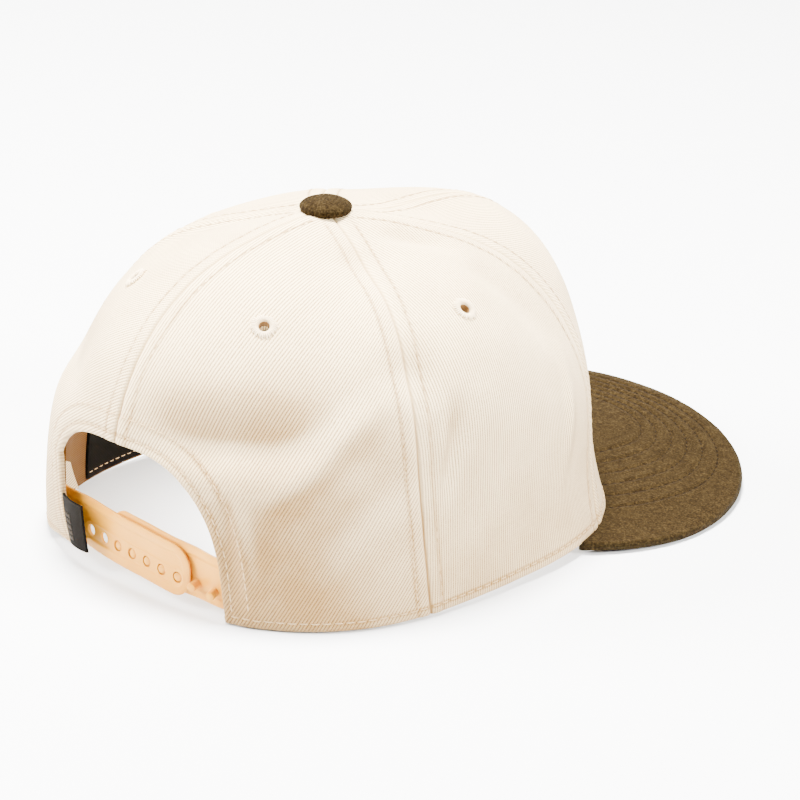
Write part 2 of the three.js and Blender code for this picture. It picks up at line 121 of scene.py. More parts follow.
# Crown surface: each row's reaches, evenly spaced from back to front, as the terms of a cosine series
ORDERS = np.arange(len(CROWN_ROWS[0]) - 1)
COSINES = np.cos(np.pi * np.outer(ORDERS, ORDERS) / ORDERS[-1])
CROWN_SERIES = np.array(CROWN_ROWS, float)[:, 1:] @ np.linalg.inv(COSINES)


def row_reach(index, bearing):
    angle = np.radians(bearing)
    terms = CROWN_SERIES[index]
    return sum(terms[..., order] * np.cos(order * angle) for order in ORDERS)


def padded_reach(index, bearing):
    """Reach of a row, carried on over the top and below the rim for the spline's ends."""
    last = len(CROWN_ROWS) - 1
    inner = row_reach(np.clip(index, 0, last), bearing)
    far = row_reach(np.clip(2 * last - index, 0, last), np.asarray(bearing) + 180)
    under = 2 * row_reach(np.zeros_like(index), bearing) - row_reach(np.ones_like(index), bearing)
    return np.where(index > last, far, np.where(index < 0, under, inner))


def reach(bearing, rise):
    bearing, rise = np.broadcast_arrays(np.asarray(bearing, float), np.asarray(rise, float))
    last = len(CROWN_ROWS) - 1
    place = np.clip(rise / 90, 0, 1) * last
    base = np.minimum(np.floor(place).astype(int), last - 1)
    t = place - base
    weights = [(1 - t) ** 3, 3 * t**3 - 6 * t**2 + 4, -3 * t**3 + 3 * t**2 + 3 * t + 1, t**3]
    return sum(weight / 6 * padded_reach(base + i - 1, bearing) for i, weight in enumerate(weights))


def polar(bearing, radius, z):
    angle = np.radians(bearing)
    return np.stack(np.broadcast_arrays(-radius * np.sin(angle), radius * np.cos(angle), z), axis=-1)


def crown_point(bearing, rise):
    far = reach(bearing, rise)
    angle = np.radians(rise)
    return polar(bearing, far * np.cos(angle), far * np.sin(angle))


def mirror_x(points, side):
    return points * np.array([side, 1, 1])


def unit(vectors):
    return vectors / np.maximum(np.linalg.norm(vectors, axis=-1, keepdims=True), 1e-9)


def upright_axes(forward):
    """The level and the upward direction at right angles to a direction."""
    level = unit(np.cross(UP, forward))
    return level, np.cross(forward, level)


def crown_normal(bearing, rise):
    step = 0.5
    low = np.maximum(rise - step, 0)
    high = np.minimum(rise + step, 90 - step)
    across = crown_point(bearing + step, rise) - crown_point(bearing - step, rise)
    upward = crown_point(bearing, high) - crown_point(bearing, low)
    return unit(np.cross(across, upward))


def rise_at_height(bearing, z):
    rise = np.zeros(np.broadcast(bearing, z).shape)
    for _ in range(14):
        rise = np.degrees(np.arcsin(np.clip(z / reach(bearing, rise), 0, 0.999)))
    return rise


def radius_at_height(bearing, z):
    rise = rise_at_height(bearing, z)
    return reach(bearing, rise) * np.cos(np.radians(rise))


def rise_at_radius(bearing, radius):
    low = np.full(np.shape(bearing), 45.0)
    high = np.full(np.shape(bearing), 90.0)
    for _ in range(24):
        middle = (low + high) / 2
        outside = reach(bearing, middle) * np.cos(np.radians(middle)) > radius
        low = np.where(outside, middle, low)
        high = np.where(outside, high, middle)
    return low


def half_turn(bearing):
    """The same bearing between -180 and 180."""
    return (np.asarray(bearing, float) + 180) % 360 - 180


def rim_height(bearing):
    return RIM_FRONT_RISE * smooth(np.abs(half_turn(bearing)), RIM_LEVEL_TO, 180)


def over_rim(bearing, rise):
    return crown_point(bearing, rise)[..., 2] - rim_height(bearing)


def seam_bearing(seam, rise):
    return seam[0] + seam[1] * np.sin(2 * np.radians(rise))


def left_leg_lap(z):
    lap = LEFT_LEG_LAP
    return lap.width * np.clip(1 - z / lap.top, 0, 1) ** lap.power


def back_bearing(x, z):
    bearing = np.zeros(np.broadcast(x, z).shape)
    for _ in range(10):
        bearing = np.degrees(np.arcsin(np.clip(x / radius_at_height(bearing, z), -1, 1)))
    return bearing


def opening_edge(side, start, end, count):
    """Bearing and rise along the back opening's edge; 1 is its top at the back seam, 0 a leg's foot."""
    t = np.linspace(start, end, count) * math.pi / 2
    power = 2 / OPENING_SQUARENESS
    z = OPENING_HEIGHT * np.sin(t) ** power
    x = OPENING_HALF * np.abs(np.cos(t)) ** power
    if side < 0:
        x = x - left_leg_lap(z)
    bearing = back_bearing(np.maximum(x, 0), z)
    return bearing, rise_at_height(bearing, z)


# Curves are drawn on a disc whose middle is the crown's top and whose edge is the rim
def to_disc(bearing, rise):
    far = 90 - np.asarray(rise, float)
    angle = np.radians(bearing)
    return np.stack([far * np.sin(angle), far * np.cos(angle)], axis=-1)


def from_disc(place):
    bearing = np.degrees(np.arctan2(place[..., 0], place[..., 1]))
    bearing = np.where(bearing < -90, bearing + 360, bearing)
    return bearing, 90 - np.hypot(place[..., 0], place[..., 1])


def run_lengths(points):
    steps = np.linalg.norm(np.diff(points, axis=0), axis=1)
    return np.concatenate([[0], np.cumsum(steps)])


def interpolate(wanted, far, values):
    return np.stack([np.interp(wanted, far, column) for column in values.T], axis=-1)


def lengths(curve):
    return run_lengths(crown_point(*from_disc(curve)))


def along(curve, shares):
    far = lengths(curve)
    return interpolate(shares * far[-1], far, curve)


def seam_curve(seam, inset, count=160):
    """From the rim up to the top hole, moved by inset millimetres towards greater bearings."""
    foot = rise_at_height(float(seam[0]), rim_height(seam[0]))
    top = rise_at_radius(float(seam[0]), TOP_HOLE_RADIUS)
    rise = np.linspace(foot, top, count)
    bearing = seam_bearing(seam, rise)
    radius = reach(bearing, rise) * np.cos(np.radians(rise))
    return to_disc(bearing + np.degrees(inset / radius), rise)


def line_between(place, other, bearings_of, count=120):
    start, end = from_disc(place)[0], from_disc(other)[0]
    bearing = np.linspace(float(start), float(end), count)
    return to_disc(bearing, bearings_of(bearing))


def rim_between(place, other):
    return line_between(place, other, lambda b: rise_at_height(b, rim_height(b)))


def top_between(place, other):
    return line_between(place, other, lambda b: rise_at_radius(b, TOP_HOLE_RADIUS))


def fine_shares(curve, fine_end=False):
    """Shares along a curve, closer together at its start and, where asked, at its end."""
    length = lengths(curve)[-1]
    tail = [length - far for far in reversed(EDGE_STEPS)] if fine_end else [length]
    start, end = EDGE_STEPS[-1], tail[0]
    count = max(int(round((end - start) / CLOTH_STEP)), 2)
    middle = [start + (end - start) * i / count for i in range(1, count)]
    return np.array(EDGE_STEPS + middle + tail) / length


def coons(bottom, top, left, right, shares_across, shares_up):
    """A grid of disc places between four curves; bottom and top run across, left and right run up."""
    s = shares_across[None, :, None]
    t = shares_up[:, None, None]
    low, high = along(bottom, shares_across)[None], along(top, shares_across)[None]
    near, far = along(left, shares_up)[:, None], along(right, shares_up)[:, None]
    corners = (1 - t) * ((1 - s) * bottom[0] + s * bottom[-1]) + t * ((1 - s) * top[0] + s * top[-1])
    return (1 - t) * low + t * high + (1 - s) * near + s * far - corners


def grid_quads(rows, columns, first=0):
    at = first + np.arange(rows * columns).reshape(rows, columns)
    corners = [at[:-1, :-1], at[:-1, 1:], at[1:, 1:], at[1:, :-1]]
    return np.stack([corner.ravel() for corner in corners], axis=-1)


def weld(places, quads):
    keys = np.round(places * 2e4).astype(np.int64)
    _, first, index = np.unique(keys, axis=0, return_index=True, return_inverse=True)
    return first, index.ravel()[quads]


def edge_walls(quads, count):
    """Quads that join each open edge of a sheet to the same edge of its back sheet, count further on."""
    edges = np.concatenate([quads[:, [k, (k + 1) % 4]] for k in range(4)])
    keys = np.sort(edges, axis=1)
    _, index, uses = np.unique(keys, axis=0, return_inverse=True, return_counts=True)
    open_edges = edges[uses[index.ravel()] == 1]
    a, b = open_edges[:, 0], open_edges[:, 1]
    return np.stack([b, a, a + count, b + count], axis=-1)


def closed_sheet(first, second, quads):
    """Points and faces of two sheets back to back, the second reversed, walled around their open edges."""
    first, second = first.reshape(-1, 3), second.reshape(-1, 3)
    count = len(first)
    faces = np.concatenate([quads, quads[:, ::-1] + count, edge_walls(quads, count)])
    return np.concatenate([first, second]), faces


def ring_quads(rings, sides):
    """Quads between each ring of points and the next."""
    at = np.arange(rings * sides).reshape(rings, sides)
    after = np.roll(at, -1, axis=1)
    return np.stack([at[:-1], after[:-1], after[1:], at[1:]], axis=-1).reshape(-1, 4)


def circle(sides, across, upward):
    angle = np.arange(sides) / sides * 2 * math.pi
    return np.cos(angle)[:, None] * across + np.sin(angle)[:, None] * upward


def grain_of(across, run, tone=0.0):
    """Where a place lies across and along the weave, with its painted shade and tone, one row for each
    point.
    """
    tone = np.broadcast_to(tone, across.shape)
    return np.stack([across, run, tone], axis=-1).reshape(-1, 3)


# Smooth noise
def lattice(cells, seed):
    """A hash of each cell's whole numbers, from -1 to 1; the factors are large primes."""
    mixed = cells[..., 0] * 73856093 ^ cells[..., 1] * 19349663 ^ cells[..., 2] * 83492791
    mixed = mixed ^ (seed * 2654435761)
    mixed = (mixed ^ (mixed >> 13)) * 1274126177
    return ((mixed ^ (mixed >> 16)) & 0xFFFF) / 65535 * 2 - 1


def noise(points, size, seed=0):
    """Value noise from -1 to 1 over cells of a given size in millimetres."""
    place = np.asarray(points, float) / size
    base = np.floor(place).astype(np.int64)
    t = place - base
    t = t * t * (3 - 2 * t)
    total = 0
    for corner in np.ndindex(2, 2, 2):
        weight = np.prod(np.where(np.array(corner), t, 1 - t), axis=-1)
        total = total + weight * lattice(base + np.array(corner), seed)
    return total


def waves(points, rows):
    return sum(depth * noise(points, size, seed) for depth, size, seed in rows)


# Cloth relief, as depth under the crown's smooth face
FOLDS = [
    # bearing, height, half length, width below, width above, slant in degrees, depth
    (27, 58, 27, 7, 12, 6, 3.0),
    (59, 50, 16, 6, 8, -31, 0.3),
    (47, 56, 22, 5, 6, 42, -1.3),
    (54, 37, 18, 7, 7, 42, 0.6),
    (69, 77, 9, 6, 9, -15, 1.0),
    (112, 105, 11, 4, 5, -64, 1.3),
    (120, 88, 20, 6, 6, -72, 1.0),
    (65, 101, 10, 6, 8, -85, 1.0),
    (31.5, 24, 20, 2.6, 2.6, -80, -1.0),
    (28.5, 26, 20, 3, 3, -80, 0.5),
    (77, 52, 12, 4, 4, -112, 1.1),
    (74.7, 50, 10, 2, 2, -102, -0.8),
    (121, 48, 16, 3, 3, -113, -0.8),
    (-35, 62, 24, 8, 18, -6, 1.7),
    (-95, 62, 20, 8, 14, 25, 1.3),
    (-122, 90, 18, 6, 8, 60, 0.9),
]


# Every fold is this much deeper than its row says
FOLD_GAIN = 1.5
FOLD_SQUARENESS = 2.6

# Uneven cloth: depth, size in millimetres and seed of each noise
CLOTH_WAVES = [(0.18, 34, 3), (0.1, 13, 4)]
BRIM_WAVES = [(0.12, 16, 7), (0.06, 5, 8)]

# Widths of panel over which a seam's relief grows to its full depth
FULL_RELIEF_WIDTH = 24
GROOVE = Sizes(depth=0.7, width=0.36, power=1.3, least=0.4)
ALLOWANCE_HEIGHT = 0.32
HEM_HEIGHT = 0.3
SEAM_ROW_DENT = (0.3, 0.6)
RIM_ROW_DENT = (0.26, 0.5)
OPENING_ROW_DENT = (0.26, 0.55)
PUCKER = Sizes(depth=0.1, size=3.2, fade=(6, 10))

# Painted shade on the twill, from 0 for plain cloth to 1, over an even plain tone
PLAIN_TONE = 0.04
# Painted shade, darker lower down the crown and more so on the back right panel
LOW_PAINTED_SHADE = Sizes(tone=0.62, top=112)
BACK_RIGHT_PAINTED_SHADE = Sizes(tone=0.5, bearing=34, width=21)
# Painted shade in the seams' grooves, along the rim and the opening's edge, and under each row of stitches
SEAM_PAINTED_SHADE = Sizes(tone=0.3, low=0.4, width=0.42)
EDGE_PAINTED_SHADE = Sizes(tone=0.2, width=1.0)
ROW_PAINTED_SHADE = Sizes(tone=0.55, width=0.5)
# Painted shade where a fold turns the cloth down and painted light where it turns it up, less of both high
# on the crown
FOLD_PAINTED_LIGHT_AND_SHADE = Sizes(tone=2.6, step=3.0, least=-0.06, most=0.14, fade=(68, 88), faded=0.5)
PRESSED = Sizes(seam=1.4, edge=0.9, edge_share=0.6)
MEAN_REACH = 105


def fold_depth(bearing, rise, points):
    total = waves(points, CLOTH_WAVES)
    radius = reach(bearing, rise) * np.cos(np.radians(rise))
    for middle, height, half_length, below, above, slant, depth in FOLDS:
        middle_rise = rise_at_height(float(middle), float(height))
        a = np.radians(bearing - middle) * radius
        h = np.radians(rise - middle_rise) * reach(bearing, rise)
        run, off = turned(a, h, slant)
        width = np.where(off < 0, below, above)
        share = np.exp(-(np.abs(run / half_length) ** FOLD_SQUARENESS)) * bell(off, width)
        total = total + FOLD_GAIN * depth * share
    return total


def edge_roll(distance, thickness):
    """How far a face draws in to round off a free edge."""
    half = thickness / 2
    inside = np.clip(half - distance, 0, half)
    return half - np.sqrt(half**2 - inside**2)


def row_dent(distance, row, dent):
    depth, width = dent
    return depth * bell(distance - row, width)


def seam_relief(distance, width):
    fade = np.clip(width / FULL_RELIEF_WIDTH, 0, 1)
    groove = GROOVE.depth * np.exp(-((np.maximum(distance, 0) / GROOVE.width) ** GROOVE.power))
    groove = groove * (GROOVE.least + (1 - GROOVE.least) * fade)
    allowance = smooth(distance, 0.2, 1.6) * (1 - smooth(distance, SEAM_ROW, SEAM_ROW + 2))
    return groove + fade * (row_dent(distance, SEAM_ROW, SEAM_ROW_DENT) - ALLOWANCE_HEIGHT * allowance)


def rim_relief(distance):
    hem = 1 - smooth(distance, RIM_ROW - 0.4, RIM_ROW + 1.6)
    return row_dent(distance, RIM_ROW, RIM_ROW_DENT) - HEM_HEIGHT * hem


def opening_relief(distance):
    far = OPENING_ROWS[-1]
    hem = 1 - smooth(distance, far - 0.6, far + 1.6)
    return sum(row_dent(distance, row, OPENING_ROW_DENT) for row in OPENING_ROWS) - HEM_HEIGHT * hem


class Panel:
    """One crown panel on the wearer's right; side -1 mirrors it to the left."""

    def __init__(self, name, start, end, side, opening, rib_angle):
        self.name, self.start, self.end, self.side = name, start, end, side
        self.opening, self.rib_angle = opening, rib_angle
        if opening:
            bearing, rise = opening_edge(side, 1, 0, 260)
            self.edge = np.stack([bearing, rise], axis=-1)

    def seam_distances(self, bearing, rise):
        radius = reach(bearing, rise) * np.cos(np.radians(rise))
        before = np.radians(bearing - seam_bearing(self.start, rise)) * radius
        after = np.radians(seam_bearing(self.end, rise) - bearing) * radius
        return before, after

    def opening_distance(self, bearing, rise):
        if not self.opening:
            return np.full(np.shape(bearing), 99.0)
        points = crown_point(bearing, rise).reshape(-1, 3)
        edge = crown_point(self.edge[:, 0], self.edge[:, 1])
        best = np.full(len(points), 99.0)
        for start, end in zip(edge[:-1], edge[1:]):
            run = end - start
            share = np.clip((points - start) @ run / (run @ run), 0, 1)
            best = np.minimum(best, np.linalg.norm(points - start - share[:, None] * run, axis=1))
        return best.reshape(np.shape(bearing))

    def edges(self, bearing, rise):
        """Distances from both seams, the rim and the back opening."""
        before, after = self.seam_distances(bearing, rise)
        return before, after, over_rim(bearing, rise), self.opening_distance(bearing, rise)

    def folds(self, bearing, rise):
        bearing = self.side * bearing
        return fold_depth(bearing, rise, crown_point(bearing, rise))

    def depths(self, bearing, rise):
        """Depths of the outer and inner faces under the smooth crown."""
        before, after, to_rim, to_opening = self.edges(bearing, rise)
        width = before + after
        free = np.minimum(to_rim, to_opening)
        nearest = np.minimum(np.minimum(before, after), free)
        pucker = PUCKER.depth * noise(crown_point(self.side * bearing, rise), PUCKER.size, 5)
        folds = self.folds(bearing, rise) + pucker * (1 - smooth(nearest, *PUCKER.fade))
        outer = folds + seam_relief(before, width) + seam_relief(after, width)
        outer = outer + rim_relief(to_rim) + opening_relief(to_opening) + edge_roll(free, WALL)
        return outer, folds + WALL - edge_roll(free, WALL)

    def tone(self, bearing, rise):
        """Painted shade on the cloth over an even tone, from 0 to 1: darker lower down, in seams, along
        free edges, under stitch rows and where a fold turns it down, lighter where a fold turns it up.
        """
        before, after, to_rim, to_opening = self.edges(bearing, rise)
        low = 1 - smooth(crown_point(bearing, rise)[..., 2], 0, LOW_PAINTED_SHADE.top)
        # Painted shade, darker lower down, and more so on the back right panel
        low_painted_shade = LOW_PAINTED_SHADE.tone
        if self.opening and self.side > 0:
            low_painted_shade = low_painted_shade + BACK_RIGHT_PAINTED_SHADE.tone * bell(bearing - BACK_RIGHT_PAINTED_SHADE.bearing, BACK_RIGHT_PAINTED_SHADE.width)
        total = PLAIN_TONE + low_painted_shade * low + self.fold_painted_light_and_shade(bearing, rise)
        # Painted shade in the seams' grooves and along the rim and the opening's edge
        seam = bell(np.minimum(before, after), SEAM_PAINTED_SHADE.width)
        edge = bell(np.minimum(to_rim, to_opening), EDGE_PAINTED_SHADE.width)
        total = total + (SEAM_PAINTED_SHADE.tone + SEAM_PAINTED_SHADE.low * low) * seam + EDGE_PAINTED_SHADE.tone * edge
        # Painted shade under each row of stitches
        fade = np.clip((before + after) / FULL_RELIEF_WIDTH, 0, 1)
        rows = [(before, SEAM_ROW, fade), (after, SEAM_ROW, fade), (to_rim, RIM_ROW, 1)]
        rows += [(to_opening, row, 1) for row in OPENING_ROWS]
        for distance, row, share in rows:
            total = total + ROW_PAINTED_SHADE.tone * share * bell(distance - row, ROW_PAINTED_SHADE.width)
        return np.clip(total, 0, 1)

    def fold_painted_light_and_shade(self, bearing, rise):
        """Painted shade, above 0 where a fold turns the cloth down, and painted light, below 0 where it
        turns it up.
        """
        step = FOLD_PAINTED_LIGHT_AND_SHADE.step
        sunk = self.folds(bearing, rise - step) - self.folds(bearing, rise + step)
        slope = sunk / (2 * math.radians(step) * MEAN_REACH)
        faded = FOLD_PAINTED_LIGHT_AND_SHADE.faded * smooth(crown_point(bearing, rise)[..., 2], *FOLD_PAINTED_LIGHT_AND_SHADE.fade)
        return FOLD_PAINTED_LIGHT_AND_SHADE.tone * np.clip(slope, FOLD_PAINTED_LIGHT_AND_SHADE.least, FOLD_PAINTED_LIGHT_AND_SHADE.most) * (1 - faded)

    def outside(self, bearing, rise):
        outer, _ = self.depths(bearing, rise)
        normal = crown_normal(bearing, rise)
        return crown_point(bearing, rise) - normal * outer[..., None], normal

    def patches(self):
        right = seam_curve(self.end, SEAM_OVERLAP)
        left = seam_curve(self.start, -SEAM_OVERLAP)
        top = top_between(left[-1], right[-1])
        if not self.opening:
            bottom = rim_between(left[0], right[0])
            return [coons(bottom, top, left, right, fine_shares(bottom, True), fine_shares(right))]
        return self.opening_patches(left, right, top)

    def opening_patches(self, left, right, top):
        """One grid beside the opening and one over it, which share a curve from its shoulder to the top."""
        shoulder = 0.5
        arch = to_disc(*opening_edge(self.side, 1, shoulder, 80))
        leg = to_disc(*opening_edge(self.side, 0, shoulder, 80))
        left = np.concatenate([arch[:1], left[left[:, 1] < arch[0, 1]]])
        corner, tip = arch[-1], right[-1]
        bend = corner + 16 * unit(np.array([0.75, -0.65]))
        handles = [corner, bend, 0.45 * bend + 0.55 * tip, tip]
        t = np.linspace(0, 1, 120)[:, None]
        shared = sum(
            math.comb(3, k) * (1 - t) ** (3 - k) * t**k * handle for k, handle in enumerate(handles)
        )
        rim = rim_between(leg[0], right[0])
        return [
            coons(rim, shared, leg, right, fine_shares(rim, True), fine_shares(right)),
            coons(arch, top, left, shared, fine_shares(arch), fine_shares(left)),
        ]

    def sheet(self):
        places, quads = [], []
        first = 0
        for patch in self.patches():
            rows, columns = patch.shape[:2]
            places.append(patch.reshape(-1, 2))
            quads.append(grid_quads(rows, columns, first))
            first += rows * columns
        places, quads = np.concatenate(places), np.concatenate(quads)
        kept, quads = weld(places, quads)
        return places[kept], self.open_eyelet(places[kept], quads)

    def open_eyelet(self, places, quads):
        """Leaves out the cloth under the middle of the panel's eyelet, if it has one."""
        spot = EYELETS.get("eyelet_" + self.name.split("_")[1])
        if not spot:
            return quads
        bearing, height = map(float, spot)
        middle = crown_point(bearing, rise_at_height(bearing, height))
        points = crown_point(*from_disc(places))
        near = np.linalg.norm(points[quads].mean(axis=1) - middle, axis=1) < EYELET_CUT
        return quads[~near]

    def mesh(self):
        places, quads = self.sheet()
        bearing, rise = from_disc(places)
        outer, inner = self.depths(bearing, rise)
        normal = crown_normal(bearing, rise)
        base = crown_point(bearing, rise)
        points, faces = closed_sheet(base - normal * outer[:, None], base - normal * inner[:, None], quads)
        if self.side < 0:
            points = lift_left_leg(mirror_x(points, -1))
            faces = faces[:, ::-1]
        return (points, faces), self.grain(bearing, rise), self.pressed(bearing, rise)

    def pressed(self, bearing, rise):
        """How far the weave is pressed flat beside a seam or a free edge, from 0 to 1."""
        before, after, to_rim, to_opening = self.edges(bearing, rise)
        edge = bell(np.minimum(to_rim, to_opening), PRESSED.edge)
        return np.maximum(bell(np.minimum(before, after), PRESSED.seam), PRESSED.edge_share * edge)

    def grain(self, bearing, rise):
        middle = (self.start[0] + self.end[0]) / 2
        a = np.radians(bearing - middle) * reach(bearing, rise) * np.cos(np.radians(rise))
        h = np.radians(rise) * MEAN_REACH
        # The grain's third value carries the painted shade
        return grain_of(*turned(a, h, self.rib_angle), self.tone(bearing, rise))


def lift_left_leg(points):
    """Raises the foot of the opening's left leg, fading upwards and away from the opening."""
    bearing = np.degrees(np.arctan2(points[:, 0], points[:, 1]))
    lift = LEFT_LEG_LIFT
    share = 1 - smooth(np.abs(bearing), lift.start, lift.end)
    low = np.clip(1 - points[:, 2] / lift.top, 0, 1) ** 2
    return points + (lift.height * np.where(bearing > 0, share, 0) * low)[:, None] * UP


RIB_ANGLES = {
    "back_right": -27,
    "back_left": 58,
    "side_right": -2,
    "side_left": -2,
    "front_right": 30,
    "front_left": 30,
}
PANELS = [
    Panel(f"crown_{where}_{word}", start, end, side, where == "back", RIB_ANGLES[f"{where}_{word}"])
    for word, side in (("right", 1), ("left", -1))
    for where, start, end in (
        ("back", BACK_SEAM, SIDE_SEAM),
        ("side", SIDE_SEAM, FRONT_SEAM),
        ("front", FRONT_SEAM, CENTRE_SEAM),
    )
]


# Objects
def add_to_scene(name, data):
    thing = bpy.data.objects.new(name, data)
    bpy.context.scene.collection.objects.link(thing)
    return thing


def add_layer(mesh, name, kind, field, values):
    """Stores one value for each point; values given for one sheet serve the sheet behind it too."""
    layer = mesh.attributes.new(name, kind, "POINT")
    whole = np.concatenate([values] * (len(mesh.vertices) // len(values)))
    layer.data.foreach_set(field, whole.astype(np.float32).ravel())


def new_object(name, mesh_data, material, node=None, grain=None, pressed=None, sharp=40):
    points, faces = mesh_data
    mesh = bpy.data.meshes.new(name)
    placed = (points + np.array([0, AXIS_Y, 0])) * MM
    mesh.from_pydata(placed.tolist(), [], faces.tolist() if isinstance(faces, np.ndarray) else faces)
    mesh.validate()
    if grain is not None:
        add_layer(mesh, "grain", "FLOAT_VECTOR", "vector", grain)
    if pressed is not None:
        add_layer(mesh, "pressed", "FLOAT", "value", pressed)
    mesh.shade_smooth()
    if sharp:
        mesh.set_sharp_from_angle(angle=math.radians(sharp))
    mesh.materials.append(material)
    piece = add_to_scene(name, mesh)
    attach(piece, "root")
    if node:
        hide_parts(node)
    return piece


def tubes(paths, normals, radius, sides=6, flat=0.8, taper=(0.55, 1, 1, 1, 0.55)):
    """Short closed tubes, one for each path in an array of paths by points by coordinates."""
    count, rings = paths.shape[:2]
    tangent = unit(np.gradient(paths, axis=1))
    across = unit(np.cross(tangent, normals))
    upward = np.cross(across, tangent)
    size = radius * np.interp(np.linspace(0, 1, rings), np.linspace(0, 1, len(taper)), taper)
    ring = circle(sides, across[:, :, None], flat * upward[:, :, None])
    points = paths[:, :, None] + ring * size[:, None, None]
    faces = (np.arange(count)[:, None, None] * rings * sides + ring_quads(rings, sides)).reshape(-1, 4)
    return points.reshape(-1, 3), faces.tolist() + end_caps(count, rings, sides)


def end_caps(count, rings, sides):
    firsts = np.arange(count)[:, None] * rings * sides
    start = firsts + np.arange(sides)[::-1][None]
    end = firsts + (rings - 1) * sides + np.arange(sides)[None]
    return start.tolist() + end.tolist()


def stitch_paths(line, normals, length, gap, lift, rings=5):
    """Cuts a line on the cloth into stitches whose ends dip into it."""
    far = run_lengths(line)
    count = max(int((far[-1] + gap) / (length + gap)), 1)
    starts = np.arange(count) * (length + gap)
    share = np.linspace(0, 1, rings)
    wanted = starts[:, None] + share[None] * length
    ups = unit(interpolate(wanted, far, normals))
    dip = 0.6
    rise = lift * (np.sin(math.pi * share) ** 0.5 * (1 + dip) - dip)
    return interpolate(wanted, far, line) + ups * rise[:, None], ups


class Sewing:
    """Collects rows of stitches into one mesh."""

    def __init__(self):
        self.paths, self.normals = [], []

    def add(self, line, normals, length=STITCH_LENGTH, gap=STITCH_GAP, lift=0.16):
        paths, ups = stitch_paths(line, normals, length, gap, lift)
        self.paths.append(paths)
        self.normals.append(ups)

    def build(self, name, material, radius=THREAD_RADIUS):
        mesh_data = tubes(np.concatenate(self.paths), np.concatenate(self.normals), radius)
        new_object(name, mesh_data, material, sharp=0)


def panel_line(panel, bearing, rise):
    line, normal = panel.outside(bearing, rise)
    line = mirror_x(line, panel.side)
    if panel.side < 0:
        line = lift_left_leg(line)
    return line, mirror_x(normal, panel.side)


def seam_rows(panel, sewing):
    for seam, inward in ((panel.start, 1), (panel.end, -1)):
        curve = seam_curve(seam, inward * SEAM_ROW, 260)
        bearing, rise = from_disc(curve)
        before, after = panel.seam_distances(bearing, rise)
        keep = (before + after > 2.4 * SEAM_ROW) & (panel.opening_distance(bearing, rise) > 2.5)
        if panel.opening and seam is panel.start:
            keep &= crown_point(bearing, rise)[:, 2] > OPENING_HEIGHT + 0.5
        keep &= over_rim(bearing, rise) > RIM_ROW - 0.5
        if keep.sum() > 3:
            sewing.add(*panel_line(panel, bearing[keep], rise[keep]))


def rim_rows(panel, sewing):
    start, end = panel.start[0], panel.end[0]
    if panel.opening:
        start = panel.edge[-1, 0] + 1.2
    bearing = np.linspace(start + 0.3, end - 0.3, 120)
    rise = rise_at_height(bearing, rim_height(bearing) + RIM_ROW)
    sewing.add(*panel_line(panel, bearing, rise))


def opening_rows(panel, sewing):
    edge = panel.edge
    points = crown_point(edge[:, 0], edge[:, 1])
    tangent = unit(np.gradient(points, axis=0))
    away = unit(np.cross(crown_normal(edge[:, 0], edge[:, 1]), tangent))
    for distance in OPENING_ROWS:
        moved = points + away * distance
        bearing = np.degrees(np.arctan2(-moved[:, 0], moved[:, 1]))
        keep = (moved[:, 2] > RIM_ROW - 0.5) & (bearing > 0.3)
        rise = rise_at_height(bearing, np.maximum(moved[:, 2], 0.1))
        sewing.add(*panel_line(panel, bearing[keep], rise[keep]))


# Materials
def new_material(name, base, roughness, sheen=0.0, subsurface=0.0, specular=0.12):
    material = bpy.data.materials.new(name)
    material.use_nodes = True
    shader = material.node_tree.nodes["Principled BSDF"]
    shader.inputs["Base Color"].default_value = (*base, 1)
    shader.inputs["Roughness"].default_value = roughness
    shader.inputs["Sheen Weight"].default_value = sheen
    shader.inputs["Subsurface Weight"].default_value = subsurface
    shader.inputs["Specular IOR Level"].default_value = specular
    return material


class Nodes:
    """Short calls for a material's node tree."""

    def __init__(self, material):
        self.tree = material.node_tree
        self.shader = self.tree.nodes["Principled BSDF"]

    def fill(self, socket, value):
        if isinstance(value, bpy.types.NodeSocket):
            self.tree.links.new(value, socket)
        else:
            socket.default_value = value

    def add(self, kind, **inputs):
        node = self.tree.nodes.new(kind)
        for name, value in inputs.items():
            self.fill(node.inputs[name], value)
        return node

    def math(self, operation, *values):
        node = self.tree.nodes.new("ShaderNodeMath")
        node.operation = operation
        for socket, value in zip(node.inputs, values):
            self.fill(socket, value)
        return node.outputs[0]

    def wave(self, phase):
        return self.math("MULTIPLY_ADD", self.math("SINE", phase), 0.5, 0.5)

    def noise(self, vector, scale, detail=2.0):
        return self.add("ShaderNodeTexNoise", Vector=vector, Scale=scale, Detail=detail).outputs["Fac"]

    def ramp(self, factor, stops):
        node = self.add("ShaderNodeValToRGB", Fac=factor)
        elements = node.color_ramp.elements
        while len(elements) < len(stops):
            elements.new(0.5)
        for element, (place, colour) in zip(elements, stops):
            element.position = place
            element.color = (*colour, 1)
        return node.outputs["Color"]

    def layer(self, name):
        node = self.tree.nodes.new("ShaderNodeAttribute")
        node.attribute_name = name
        return node

    def finish(self, colour, height, distance):
        bump = self.add("ShaderNodeBump", Height=height, Distance=distance, Strength=1.0)
        self.fill(self.shader.inputs["Normal"], bump.outputs["Normal"])
        self.fill(self.shader.inputs["Base Color"], colour)


# What a painted shade and tone of 1 multiplies the cloth's colour by
FULL_PAINTED_SHADE_AND_TONE = (0.33, 0.243, 0.142, 1)
STRAND_PITCH = 0.75
MEAN_HEIGHT = 0.6


